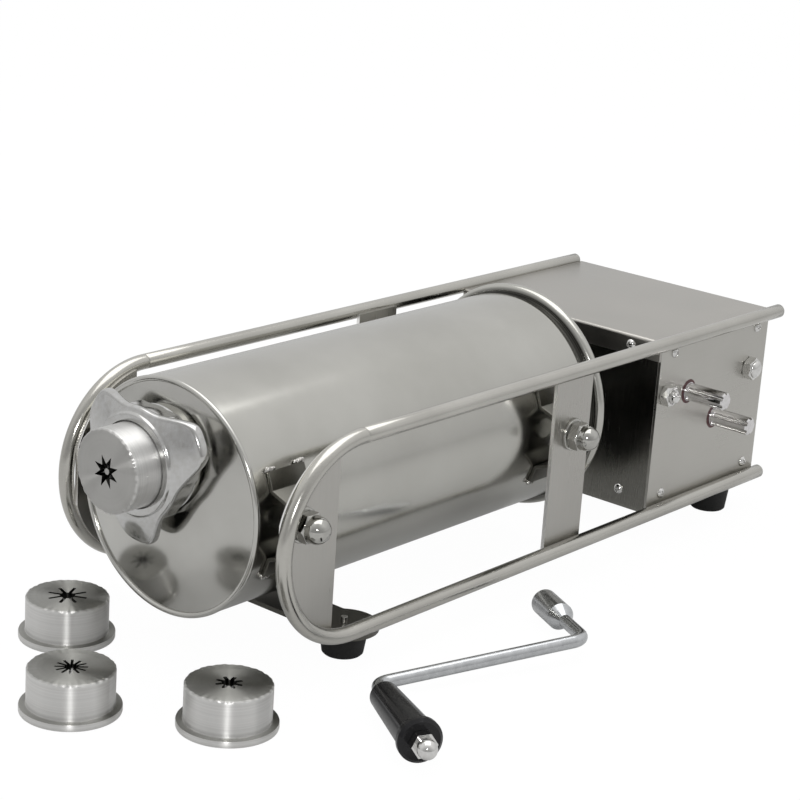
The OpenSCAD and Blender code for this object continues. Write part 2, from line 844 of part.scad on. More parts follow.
// Plate that carries the inner ends of the shafts
module bearing_plate() {
    chamfer = 14;
    x0 = case_front_x + sheet_t;
    x1 = case_rear_x - sheet_t;
    z0 = case_low_z + sheet_t;
    z1 = tie_z + 14;
    color(shade) difference() {
        translate([0, -bearing_y, 0]) rotate([90, 0, 0]) linear_extrude(bearing_t) polygon([
            [x0 + 1, z0], [x1 - 1, z0], [x1, z0 + 1], [x1, z1 - chamfer], [x1 - chamfer, z1],
            [x0 + chamfer, z1], [x0, z1 - chamfer], [x0, z0 + 1]
        ]);
        for (x = [tie_front_x, tie_rear_x])
            bar_y(-bearing_y - bearing_t - 1, -bearing_y + 1, x, tie_z, tie_r + tie_hole_gap);
        bar_y(-bearing_y - bearing_t - 1, -bearing_y + 1, fast_x, fast_z, bush_r);
        children();
    }
}

module near_bearing_plate() {
    bearing_plate() bar_y(-bearing_y - bearing_t - 1, -bearing_y + 1, slow_x, slow_z, bush_r);
}

module far_bearing_plate() {
    far() bearing_plate();
}

// Flanged bush whose flange lies at y0 and whose body runs to y1
module bush(x, z, y0, y1) {
    flange_t = 1.5;
    difference() {
        union() {
            bar_y(min(y0, y1), max(y0, y1), x, z, bush_r);
            bar_y(min(y0, y0 + sign(y0 - y1) * flange_t), max(y0, y0 + sign(y0 - y1) * flange_t),
                  x, z, bush_flange_r);
        }
        bar_y(min(y0, y1) - 3, max(y0, y1) + 3, x, z, shaft_r + run_gap);
    }
}

// Bushes in the near panel and in both bearing plates
module shaft_bushes() {
    color(bronze) {
        for (spot = [[fast_x, fast_z], [slow_x, slow_z]]) {
            bush(spot[0], spot[1], -panel_y, -strap_y);
            bush(spot[0], spot[1], -bearing_y - bearing_t, -bearing_y);
        }
        far() bush(fast_x, fast_z, -bearing_y - bearing_t, -bearing_y);
    }
}

// Bolt across the case with its nut on the crank side
module front_tie_bolt() {
    color(bright) {
        bar_y(-strap_y - 10, strap_y, tie_front_x, tie_z, tie_r);
        hex_y(strap_y, strap_y + 5.5, tie_front_x, tie_z, tie_nut_r);
    }
}

// Bolt across the case with its domed head on the crank side
module rear_tie_bolt() {
    head_h = 4.5;
    color(bright) {
        bar_y(-strap_y, strap_y + 10, tie_rear_x, tie_z, tie_r);
        hex_y(-strap_y - head_h, -strap_y, tie_rear_x, tie_z, tie_nut_r + 0.5);
        translate([tie_rear_x, -strap_y - head_h, tie_z]) rotate([90, 0, 0]) intersection() {
            cylinder(h = 3, r = 6.6);
            translate([0, 0, -5.2]) sphere(8.2);
        }
    }
}

// Nuts on the free ends of the two tie bolts
module tie_nuts() {
    color(bright) difference() {
        union() {
            hex_y(-strap_y - tie_nut_h, -strap_y, tie_front_x, tie_z, tie_nut_r);
            hex_y(strap_y, strap_y + tie_nut_h, tie_rear_x, tie_z, tie_nut_r);
        }
        bar_y(-strap_y - 10, 0, tie_front_x, tie_z, tie_r + 0.02);
        bar_y(0, strap_y + 10, tie_rear_x, tie_z, tie_r + 0.02);
    }
}

// Tubes on the tie bolts between the bearing plates
module tie_spacers() {
    spacer_r = tie_r + 1;
    flange_y = roller_half() + 0.2;
    color(shade) difference() {
        union() {
            bar_y(-bearing_y, bearing_y, tie_front_x, tie_z, spacer_r);
            bar_y(-bearing_y, -flange_y, tie_rear_x, tie_z, spacer_r);
            bar_y(flange_y, bearing_y, tie_rear_x, tie_z, spacer_r);
        }
        for (x = [tie_front_x, tie_rear_x])
            bar_y(-bearing_y - 1, bearing_y + 1, x, tie_z, tie_r + 0.1);
    }
}

function roller_half() = rack_w / 2 + roller_gap + 2.6;

// Flanged roller that holds the rack down on its pinion
module guide_roller() {
    half = roller_half();
    lip = 2.5;
    color(nylon) difference() {
        union() {
            bar_y(-half, half, tie_rear_x, tie_z, roller_r);
            bar_y(-half, -half + lip, tie_rear_x, tie_z, roller_r + lip);
            bar_y(half - lip, half, tie_rear_x, tie_z, roller_r + lip);
        }
        bar_y(-half - 1, half + 1, tie_rear_x, tie_z, tie_r + run_gap);
    }
}

// Plastic frame that guides the rack where it passes a case plate
module rack_guide(x, out) {
    half_y = rack_w / 2;
    half_z = rack_h / 2;
    body_x = [x, x - out * (sheet_t + 1.5)];
    lip_x = [x, x + out * 2];
    difference() {
        union() {
            block([min(body_x), -half_y - guide_side, rack_mid_z - half_z - guide_wall],
                  [max(body_x), half_y + guide_side, rack_mid_z + half_z + guide_wall]);
            block([min(lip_x), -half_y - 2 * guide_side, rack_mid_z - half_z - 2 * guide_wall],
                  [max(lip_x), half_y + 2 * guide_side, rack_mid_z + half_z + 2 * guide_wall]);
        }
        block([x - 9, -half_y - guide_gap, rack_mid_z - half_z - guide_gap],
              [x + 9, half_y + guide_gap, rack_mid_z + half_z + guide_gap]);
    }
}

module rack_guides() {
    color(nylon) {
        rack_guide(case_front_x, -1);
        rack_guide(case_rear_x, 1);
    }
}

// Angle in degrees that an involute of base radius b has swept at radius r
function involute_turn(b, r) =
    let (a = acos(min(1, b / r))) (tan(a) - a * PI / 180) * 180 / PI;

// Half the angle that a tooth takes at radius r
function half_tooth(n, r) =
    let (p = gear_m * n / 2, b = p * cos(pressure))
    90 / n - asin(flank_gap / p) + involute_turn(b, p) - involute_turn(b, max(r, b));

// Spur gear outline with involute flanks and one tooth along +X
module gear_outline(n) {
    p = gear_m * n / 2;
    tip = p + tooth_up * gear_m;
    root = p - tooth_down * gear_m;
    base = max(root, p * cos(pressure));
    radii = [root, base, (base + p) / 2, p, (p + tip) / 2, tip];
    polygon([for (i = [0:n - 1]) let (mid = i * 360 / n) each concat(
        [for (r = radii) r * [cos(mid - half_tooth(n, r)), sin(mid - half_tooth(n, r))]],
        [for (k = [0:5]) let (r = radii[5 - k])
            r * [cos(mid + half_tooth(n, r)), sin(mid + half_tooth(n, r))]]
    )]);
}

// Gear in the XZ plane from y0 towards -Y, turned so that one tooth points along turn
module gear(n, x, z, y0, face, turn, bore_r) {
    translate([x, y0, z]) rotate([90, 0, 0]) linear_extrude(face) difference() {
        rotate(turn) gear_outline(n);
        circle(bore_r);
    }
}

function flute_turns() = [30:60:330];

// Fluted crank end outside the panel, plain journal inside, head at the inner end
module drive_shaft(x, z, inner_y) {
    journal_y = -strap_y - 1;
    difference() {
        union() {
            bar_y(journal_y, inner_y, x, z, shaft_r);
            bar_y(inner_y, inner_y + 2, x, z, shaft_r + 2);
            bar_y(-spline_tip_y + 1, journal_y, x, z, spline_r);
            translate([x, -spline_tip_y + 1, z]) rotate([90, 0, 0])
                cylinder(h = 1, r1 = spline_r, r2 = spline_r - 1);
        }
        for (a = flute_turns())
            bar_y(-spline_tip_y - 1, journal_y - 1, x + flute_at * cos(a), z + flute_at * sin(a), flute_r);
    }
}

module fast_shaft() {
    color(bright) drive_shaft(fast_x, fast_z, bearing_y + bearing_t + 2);
}

module slow_shaft() {
    color(bright) drive_shaft(slow_x, slow_z, -bearing_y + 1);
}

// Large gear with a hub that reaches the bearing plate
module large_gear() {
    hub_end = -bearing_y - bearing_t - 2;
    color(shade) {
        gear(large_n, fast_x, fast_z, -large_side_y + large_face, large_face, shaft_turn, shaft_r);
        difference() {
            bar_y(-large_side_y + large_face, hub_end, fast_x, fast_z, shaft_r + 5);
            bar_y(-large_side_y, hub_end + 1, fast_x, fast_z, shaft_r);
        }
    }
}

module small_pinion() {
    face = large_face + 4;
    hub_end = -bearing_y - bearing_t - 2;
    gap_turn = shaft_turn + 180 + 180 / small_n;
    color(shade) {
        gear(small_n, slow_x, slow_z, -large_side_y - 2 + face, face, gap_turn, shaft_r);
        difference() {
            bar_y(-large_side_y - 2 + face, hub_end, slow_x, slow_z, small_pitch_r - 3);
            bar_y(-large_side_y, hub_end + 1, slow_x, slow_z, shaft_r);
        }
    }
}

module rack_pinion() {
    face = 2 * bearing_y - 6;
    color(shade) gear(rack_pinion_n, fast_x, fast_z, face / 2, face, 90, shaft_r);
}

// ---- rack and piston ----

// Square bar with teeth along the part of its underside that passes the pinion
module rack_bar() {
    root = rack_pitch_z + tooth_down * gear_m;
    slope = tan(pressure);
    half_gap = tooth_pitch / 4 + flank_gap;
    first = -floor((stroke + 8) / tooth_pitch);
    last = floor((rack_rear_x - fast_x - 5) / tooth_pitch);
    top_half = half_gap - tooth_down * gear_m * slope;
    low_half = half_gap + rack_tooth_up * slope;
    color(steel) difference() {
        translate([0, rack_w / 2, 0]) rotate([90, 0, 0]) linear_extrude(rack_w) polygon(concat(
            [[rack_front_x, rack_low_z], [rack_front_x, rack_top_z], [rack_rear_x, rack_top_z],
             [rack_rear_x, rack_low_z]],
            [for (i = [last:-1:first]) let (x = fast_x + i * tooth_pitch) each [
                [x + low_half, rack_low_z], [x + top_half, root], [x - top_half, root],
                [x - low_half, rack_low_z]]]
        ));
        bar_x(rack_front_x - 1, rack_front_x + 22, 0, rack_mid_z, bolt_r() + 0.1);
    }
}

function bolt_r() = 4;

// Disc across the barrel with holes for the bolt and the air valve
module piston_disc(x0, x1, r) {
    difference() {
        bar_x(x0, x1, 0, barrel_z, r);
        bar_x(x0 - 1, x1 + 1, 0, rack_mid_z, bolt_r() + 0.2);
        bar_x(x0 - 1, x1 + 1, 0, valve_z, valve_r + 0.3);
    }
}

module piston_front_plate() {
    color(steel) piston_disc(piston_x, seal_x, piston_plate_r);
}

// Rear plate with the core that carries the seal and the boss that takes the rack
module piston_rear_plate() {
    boss = 4;
    gap = 0.2;
    color(steel) {
        piston_disc(seal_x, rear_plate_x, seal_core_r);
        piston_disc(rear_plate_x, rack_front_x, piston_plate_r);
        difference() {
            block([rack_front_x, -rack_w / 2 - boss, rack_low_z - boss],
                  [rack_front_x + 16, rack_w / 2 + boss, rack_top_z + boss]);
            block([rack_front_x - 1, -rack_w / 2 - gap, rack_low_z - gap],
                  [rack_front_x + 17, rack_w / 2 + gap, rack_top_z + gap]);
        }
    }
}

// Silicone ring with two lips and a groove between them
module piston_seal() {
    lip_r = barrel_in_r - seal_gap;
    color(silicone) translate([seal_x, 0, barrel_z]) rotate([0, 90, 0]) rotate_extrude() polygon([
        [seal_core_r + 0.1, 0.1], [lip_r - 2, 0.1], [lip_r, 1.5], [lip_r, 3], [lip_r - 2.5, seal_t / 2],
        [lip_r, seal_t - 3], [lip_r, seal_t - 1.5], [lip_r - 2, seal_t - 0.1],
        [seal_core_r + 0.1, seal_t - 0.1]
    ]);
}

// Hexagon bolt through both plates into the end of the rack
module piston_bolt() {
    head_h = 5;
    color(bright) {
        translate([piston_x, 0, rack_mid_z]) rotate([0, -90, 0]) cylinder(h = head_h, r = 7.5, $fn = 6);
        bar_x(piston_x, rack_front_x + 20, 0, rack_mid_z, bolt_r());
    }
}

// Poppet that lets air in behind the dough when the piston is drawn back
module valve_stem() {
    head_h = 2;
    color(nylon) {
        bar_x(piston_x - head_h, piston_x, 0, valve_z, valve_r + 4);
        bar_x(piston_x - 0.5, valve_collar_x + 2, 0, valve_z, valve_r);
        bar_x(valve_collar_x, valve_collar_x + 2, 0, valve_z, valve_r + 2.5);
    }
}

// Coil between the rear plate and the collar of the valve's stem
module valve_spring() {
    wire_r = 0.5;
    coil_r = valve_r + 1.2;
    turns = 4;
    steps = 16;
    sides = 8;
    span = valve_spring_len - 2 * wire_r - 0.2;
    function centre(i) = let (t = i / (turns * steps)) [
        rack_front_x + wire_r + 0.1 + span * t,
        coil_r * cos(360 * turns * t), valve_z + coil_r * sin(360 * turns * t)];
    function ring(i) = [for (k = [0:sides - 1]) let (
        turn = 360 * i / steps,
        out = [0, cos(turn), sin(turn)],
        a = 360 * k / sides) centre(i) + wire_r * (cos(a) * out + sin(a) * [1, 0, 0])];
    count = turns * steps;
    points = [for (i = [0:count]) each ring(i)];
    color(steel) polyhedron(points, concat(
        [[for (k = [sides - 1:-1:0]) k]],
        [for (i = [0:count - 1], k = [0:sides - 1]) let (a = i * sides, b = (k + 1) % sides)
            [a + k, a + b, a + sides + b, a + sides + k]],
        [[for (k = [0:sides - 1]) count * sides + k]]
    ));
}

// ---- crank ----

// Lays the crank on the table: on both ends of its grip and the mouth of its socket
module crank_place() {
    translate([crank_x, crank_y, elbow_z]) rotate([0, 0, crank_heading])
        rotate([-grip_tilt, 0, 0]) rotate([0, -arm_tilt, 0]) children();
}

// Bend of the crank's rod from angle start round to start + turn, a little thinner than the rod
module rod_bend(start, turn) {
    into = 2;
    rotate([0, 0, start - into]) rotate_extrude(angle = turn + 2 * into)
        translate([bend_r, 0]) circle(crank_r - bend_thin);
}

// Rod of two parallel legs and a leaning arm, with the spindle for the grip at one end
module crank_rod() {
    spindle_end = -grip_leg - crank_nut_h + 1;
    turn = 90 - arm_lean;
    cut = bend_r * tan(turn / 2);
    arm_w = mouth_w - socket_leg;
    color(bright) crank_place() {
        bar_y(spindle_end, -cut, 0, 0, crank_r);
        translate([bend_r, -cut, 0]) rod_bend(90 + arm_lean, turn);
        rotate([0, 0, arm_lean]) bar_x(cut, arm_len - cut, 0, 0, crank_r);
        translate([socket_u - bend_r, arm_w + cut, 0]) rod_bend(-turn, turn);
        bar_y(arm_w + cut, mouth_w - socket_len - 8, socket_u, 0, crank_r);
    }
}

// Tube that fits over a fluted shaft end, with a taper to the rod and six keys in its depth
module crank_socket() {
    back = mouth_w - socket_len;
    key_end = mouth_w - 8;
    chamfer = 0.8;
    color(bright) crank_place() {
        difference() {
            union() {
                bar_y(back, mouth_w - chamfer, socket_u, 0, socket_r);
                translate([socket_u, mouth_w - chamfer, 0]) rotate([-90, 0, 0])
                    cylinder(h = chamfer, r1 = socket_r, r2 = socket_r - chamfer);
                translate([socket_u, back - 8, 0]) rotate([-90, 0, 0])
                    cylinder(h = 8, r1 = crank_r, r2 = socket_r);
            }
            difference() {
                bar_y(mouth_w - socket_depth, mouth_w + 1, socket_u, 0, spline_r + socket_gap);
                for (a = flute_turns())
                    bar_y(mouth_w - socket_depth - 1, key_end, socket_u + flute_at * cos(a),
                          flute_at * sin(a), flute_r - socket_gap);
            }
        }
    }
}

// Grip that turns freely on the spindle
module crank_grip() {
    len = grip_leg - grip_near - 0.3;
    rim = grip_flange_t;
    color(black) crank_place() translate([0, -grip_near, 0]) rotate([90, 0, 0]) difference() {
        rotate_extrude() polygon([
            [0, 0], [grip_r - 1.5, 0], [grip_r, 1.5], [grip_end_r, len - rim - 3],
            [grip_flange_r - 0.6, len - rim], [grip_flange_r, len - rim + 1.2],
            [grip_flange_r, len - 1.8], [grip_flange_r - 1.8, len], [0, len]
        ]);
        translate([0, 0, -1]) cylinder(h = len + 2, r = crank_r + run_gap);
    }
}

// Cap nut that keeps the grip on its spindle
module crank_cap_nut() {
    color(bright) crank_place() difference() {
        union() {
            hex_y(-grip_leg - crank_nut_h, -grip_leg, 0, 0, crank_nut_r);
            bar_y(-grip_leg - crank_nut_h - 4, -grip_leg - crank_nut_h, 0, 0, crank_dome_r);
            translate([0, -grip_leg - crank_nut_h - 4, 0]) sphere(crank_dome_r);
        }
        bar_y(-grip_leg - crank_nut_h + 1, -grip_leg + 1, 0, 0, crank_r);
    }
}

// ---- the part ----

part() side_rail();  // near_side_rail
part() far() side_rail();  // far_side_rail
part() front_strap();  // near_front_strap
part() far() front_strap();  // far_front_strap
part() rear_strap();  // near_rear_strap
part() far() rear_strap();  // far_rear_strap
part() front_cross_plate();
part() front_feet();
part() rear_feet();
part() foot_screws();
part() barrel_tube();
part() barrel_head();
part() outlet_spout();
part() hat_brackets();  // near_hat_brackets
part() far() hat_brackets();  // far_hat_brackets
part() barrel_studs();
part() strap_washers();
part() cap_nuts();
part() wing_nut();
part() fitted_die();
part() long_slot_die();
part() fine_slot_die();
part() short_slot_die();
part() case_channel();
part() top_cover();
part() near_panel();
part() far_panel();
part() near_panel_screws();
part() far_panel_screws();
part() end_plate_screws();
part() near_bearing_plate();
part() far_bearing_plate();
part() shaft_bushes();
part() front_tie_bolt();
part() rear_tie_bolt();
part() tie_nuts();
part() tie_spacers();
part() rack_guides();
part() guide_roller();
part() fast_shaft();
part() large_gear();
part() rack_pinion();
part() slow_shaft();
part() small_pinion();
part() rack_bar();
part() piston_front_plate();
part() piston_seal();
part() piston_rear_plate();
part() piston_bolt();
part() valve_stem();
part() valve_spring();
part() crank_rod();
part() crank_socket();
part() crank_grip();
part() crank_cap_nut();
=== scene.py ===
"""Looks of the hand-cranked churro maker: polished and satin steel, turned dies, chrome crank.

Every piece is worked out from the CAD frame.  Lengths are metres, MM is a millimetre.
The machine lies along X, its crank side is -Y, +Z is up.
"""

from math import asin, cos, pi, radians, sin, tan

import bmesh
import bpy
import numpy as np
from mathutils import Matrix, Vector


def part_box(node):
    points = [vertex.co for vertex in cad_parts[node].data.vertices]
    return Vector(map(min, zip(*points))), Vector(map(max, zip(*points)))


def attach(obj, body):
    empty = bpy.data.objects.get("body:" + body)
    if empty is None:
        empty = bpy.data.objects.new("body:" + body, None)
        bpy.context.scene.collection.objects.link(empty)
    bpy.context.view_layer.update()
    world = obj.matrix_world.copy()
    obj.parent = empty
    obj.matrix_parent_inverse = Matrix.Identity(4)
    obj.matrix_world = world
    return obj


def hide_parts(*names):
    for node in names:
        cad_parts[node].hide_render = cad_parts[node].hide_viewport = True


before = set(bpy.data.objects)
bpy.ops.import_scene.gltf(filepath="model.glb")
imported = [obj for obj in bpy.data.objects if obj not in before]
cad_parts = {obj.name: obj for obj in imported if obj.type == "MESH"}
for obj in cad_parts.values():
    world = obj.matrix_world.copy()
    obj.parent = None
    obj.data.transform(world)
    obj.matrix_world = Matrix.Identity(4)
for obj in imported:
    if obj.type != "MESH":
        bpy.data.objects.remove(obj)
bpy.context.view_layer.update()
MM = 0.001


# ---------------------------------------------------------------- sizes from the frame

def size_of(node):
    """Lowest corner, highest corner and middle of a CAD node, as arrays."""
    low, high = (np.array(v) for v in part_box(node))
    return low, high, (low + high) / 2


RAIL_LOW, RAIL_HIGH, _ = size_of("near_side_rail")
_, FAR_HIGH, _ = size_of("far_side_rail")
ROD_R = (RAIL_HIGH[1] - RAIL_LOW[1]) / 2
MID_Y = (RAIL_LOW[1] + FAR_HIGH[1]) / 2
RAIL_OUT = MID_Y - (RAIL_LOW[1] + RAIL_HIGH[1]) / 2
TOP_Z = RAIL_HIGH[2] - ROD_R
LOW_Z = RAIL_LOW[2] + ROD_R
LOOP_R = (TOP_Z - LOW_Z) / 2
LOOP_X = RAIL_LOW[0] + ROD_R + LOOP_R

TUBE_LOW, TUBE_HIGH, TUBE_MID = size_of("barrel_tube")
BARREL_Z = TUBE_MID[2]
HEAD_LOW, HEAD_HIGH, _ = size_of("barrel_head")
RIM_BEAD_R = 1.8 * MM
RIM_X = HEAD_HIGH[0] - RIM_BEAD_R
BEAD_R = 4 * MM
BEAD_STEP = 1 * MM
BEAD_RING_R = (TUBE_HIGH[2] - TUBE_LOW[2]) / 2 - BEAD_R
BARREL_R = BEAD_RING_R - BEAD_STEP
BARREL_END = TUBE_HIGH[0]
BEAD_START = BARREL_END - 2 * BEAD_R
WALL = 1.5 * MM
RIM_BACK = 3.5
ROUND = 192

DIE_LOW, DIE_HIGH, DIE_MID = size_of("fitted_die")
OUTLET_Z = DIE_MID[2]
FLANGE_R = (DIE_HIGH[2] - DIE_LOW[2]) / 2
FLANGE_STEP = 3.9 * MM
FLANGE_T = 4.1 * MM
DIE_R = FLANGE_R - FLANGE_STEP
DIE_H = DIE_HIGH[0] - DIE_LOW[0]
CUP_R = 20 * MM
NUT_LOW, NUT_HIGH, _ = size_of("wing_nut")

CASE_LOW, CASE_HIGH, _ = size_of("case_channel")
COVER_LOW, COVER_HIGH, _ = size_of("top_cover")
PANEL_LOW, _, _ = size_of("near_panel")
_, STRAP_HIGH, _ = size_of("near_front_strap")
REAR_STRAP_LOW, REAR_STRAP_HIGH, _ = size_of("near_rear_strap")
SIDE_Y = MID_Y - PANEL_LOW[1]
HAT_Y = MID_Y - STRAP_HIGH[1]


def along_x(mm):
    """X of a point mm millimetres behind the barrel's front rim, which lies RIM_BACK behind the
    foremost point of the side rods."""
    return RAIL_LOW[0] + (RIM_BACK + mm) * MM


def far_side(points):
    """Mirrors points in the machine's middle plane."""
    opposite = np.array(points, float)
    opposite[..., 1] = 2 * MID_Y - opposite[..., 1]
    return opposite


# ---------------------------------------------------------------- surfaces

def rounded(corners, radii, steps=5):
    """Polyline whose inner corners are arcs: each arc turns from the incoming to the outgoing
    direction about a centre on the bisector, radius / cos(half the turn) away."""
    pts = np.array(corners, float)
    radii = np.broadcast_to(np.array(radii, float), (len(pts),))
    out = [pts[:1]]
    for i in range(1, len(pts) - 1):
        a, b = pts[i] - pts[i - 1], pts[i + 1] - pts[i]
        a, b = a / np.linalg.norm(a), b / np.linalg.norm(b)
        turn = np.arccos(np.clip(a @ b, -1, 1))
        if radii[i] <= 0 or turn < 1e-3:
            out.append(pts[i:i + 1])
            continue
        reach = radii[i] * np.tan(turn / 2)
        middle = pts[i] + (b - a) / np.linalg.norm(b - a) * radii[i] / np.cos(turn / 2)
        start = (pts[i] - a * reach - middle) / radii[i]
        end = (pts[i] + b * reach - middle) / radii[i]
        t = np.linspace(0, 1, steps + 1)[:, None] * turn
        arc = (np.sin(turn - t) * start + np.sin(t) * end) / np.sin(turn)
        out.append(middle + radii[i] * arc)
    out.append(pts[-1:])
    return np.concatenate(out)


def circle_turns(count, start=0.0):
    """count equal angles round a circle."""
    return start + np.arange(count) * 2 * pi / count


def rings_about(along, radius, centre, axis, count=96, start=0.0, up=None):
    """Rings round an axis: centre + along * axis + radius * (cos t * side + sin t * third).
    radius is one value a ring, or one a point of each ring."""
    axis = np.array(axis, float) / np.linalg.norm(axis)
    up = np.array(up if up is not None else ((0, 0, 1) if abs(axis[2]) < 0.9 else (1, 0, 0)), float)
    side = up - axis * (up @ axis)
    side /= np.linalg.norm(side)
    third = np.cross(axis, side)
    along, radius = np.array(along, float), np.array(radius, float)
    if radius.ndim == 2:
        count = radius.shape[1]
    else:
        radius = np.repeat(radius[:, None], count, 1)
    if along.ndim == 1:
        along = np.repeat(along[:, None], count, 1)
    t = circle_turns(count, start)
    ring = np.cos(t)[:, None] * side + np.sin(t)[:, None] * third
    return np.array(centre) + along[..., None] * axis + radius[..., None] * ring[None]


def skin(rings, loop=False, cap_first=True, cap_last=True):
    """Quads between neighbouring rings of a grid[m, n]; loop joins the last ring to the first,
    and a cap is a fan of triangles to the ring's middle."""
    m, n = rings.shape[:2]
    verts = rings.reshape(-1, 3)
    index = np.arange(m * n).reshape(m, n)
    lower = index if loop else index[:-1]
    upper = np.roll(index, -1, 0) if loop else index[1:]
    quads = np.stack([lower, np.roll(lower, -1, 1), np.roll(upper, -1, 1), upper], -1).reshape(-1, 4)
    faces = [quads]
    if not loop:
        for wanted, ring in ((cap_first, 0), (cap_last, m - 1)):
            if wanted:
                verts = np.concatenate([verts, rings[ring].mean(0)[None]])
                hub = np.full(n, len(verts) - 1)
                faces.append(np.stack([index[ring], np.roll(index[ring], -1), hub], -1))
    return verts, faces


def rows_skin(rows, centre, axis, loop=False, **more):
    """Skin of rows (along, radius) round an axis; each is one value or one a point of the ring."""
    count = max(max(np.size(z), np.size(r)) for z, r in rows)
    along, radius = (np.array([np.broadcast_to(row[k], (count,)) for row in rows]) for k in (0, 1))
    return skin(rings_about(along, radius, centre, axis, **more), loop)


def turned(profile, centre, axis, count=96, loop=False, **more):
    """Surface of revolution of (along, radius) points."""
    profile = np.array(profile, float)
    return skin(rings_about(profile[:, 0], profile[:, 1], centre, axis, count, **more), loop,
                cap_first=profile[0, 1] > 1e-7, cap_last=profile[-1, 1] > 1e-7)


def rod(path, flat, radius, count=32):
    """Tube along a path in one plane: path + radius * (cos t * flat + sin t * (tangent x flat)).
    radius may be one value a path point."""
    path, flat = np.array(path, float), np.array(flat, float)
    tangent = np.gradient(path, axis=0)
    tangent /= np.linalg.norm(tangent, axis=1)[:, None]
    third = np.cross(tangent, flat)
    t = circle_turns(count)
    radius = np.broadcast_to(np.array(radius, float), (len(path),))[:, None, None]
    ring = np.cos(t)[None, :, None] * flat + np.sin(t)[None, :, None] * third[:, None]
    return skin(path[:, None] + radius * ring)


def ribbon(path, across, width, thickness, edge):
    """Bent sheet: a rounded rectangle, width along across and thickness square to it, carried
    along a path that lies in one plane square to across."""
    path, across = np.array(path, float), np.array(across, float)
    tangent = np.gradient(path, axis=0)
    tangent /= np.linalg.norm(tangent, axis=1)[:, None]
    normal = np.cross(across, tangent)
    w, h = width / 2, thickness / 2
    corners = [(w, 0), (w, h), (-w, h), (-w, -h), (w, -h), (w, 0)]
    section = rounded(corners, edge, 3)[:-1]
    wide, thick = section[None, :, :1] * across, section[None, :, 1:] * normal[:, None]
    return skin(path[:, None] + wide + thick)


def slab(outline, origin, first, second, thickness):
    """Plate of a convex outline: rings that shrink towards the outline's middle round both edges.
    first and second are the plate's own directions, and it is thick along their cross product."""
    outline = np.array(outline, float)
    middle = outline.mean(0)
    size = np.linalg.norm(outline - middle, axis=1).mean()
    edge = 0.3 * MM
    turn = np.linspace(0, pi / 2, 4)
    rows = [(1 - edge / size * (1 - np.sin(a)), edge * (1 - np.cos(a))) for a in turn]
    rows += [(s, thickness - h) for s, h in rows[::-1]]
    first, second = np.array(first, float), np.array(second, float)
    third = np.cross(first, second)
    flat = [middle + (outline - middle) * s for s, _ in rows]
    rings = np.array([np.array(origin) + p[:, :1] * first + p[:, 1:] * second + h * third
                      for p, (_, h) in zip(flat, rows)])
    return skin(rings)


def mirrored(surface):
    """The same surface on the far side of the machine."""
    return far_side(surface[0]), surface[1]


def piece(name, surfaces, body, material, replaces=None, sharp=38):
    """Makes one named mesh of closed surfaces, faces outwards, and lets it ride on a body."""
    verts, faces, start = [], [], 0
    for points, groups in surfaces:
        for group in groups:
            faces.extend((group + start).tolist())
        verts.append(points)
        start += len(points)
    mesh = bpy.data.meshes.new(name)
    mesh.from_pydata(np.concatenate(verts).tolist(), [], faces)
    work = bmesh.new()
    work.from_mesh(mesh)
    bmesh.ops.remove_doubles(work, verts=work.verts, dist=1e-7)
    bmesh.ops.recalc_face_normals(work, faces=work.faces)
    work.to_mesh(mesh)
    work.free()
    mesh.polygons.foreach_set("use_smooth", np.ones(len(mesh.polygons), bool))
    mesh.set_sharp_from_angle(angle=radians(sharp))
    mesh.materials.append(material)
    made = bpy.data.objects.new(name, mesh)
    bpy.context.scene.collection.objects.link(made)
    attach(made, body)
    if replaces:
        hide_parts(replaces)


# ---------------------------------------------------------------- finishes

def fill(tree, node, inputs):
    """Sets a node's inputs: each is a value or another node's output."""
    for socket, value in inputs.items():
        if isinstance(value, bpy.types.NodeSocket):
            tree.links.new(value, node.inputs[socket])
        else:
            node.inputs[socket].default_value = value
    return node


def new_node(tree, kind, inputs, operation=None):
    """A node with its inputs, and its operation where it has one."""
    node = tree.nodes.new(kind)
    if operation:
        node.operation = operation
    return fill(tree, node, inputs)


def mixed(tree, factor, first, second):
    """Colour between two colours."""
    node = tree.nodes.new("ShaderNodeMix")
    node.data_type = "RGBA"
    return fill(tree, node, {"Factor": factor, "A": first, "B": second}).outputs["Result"]


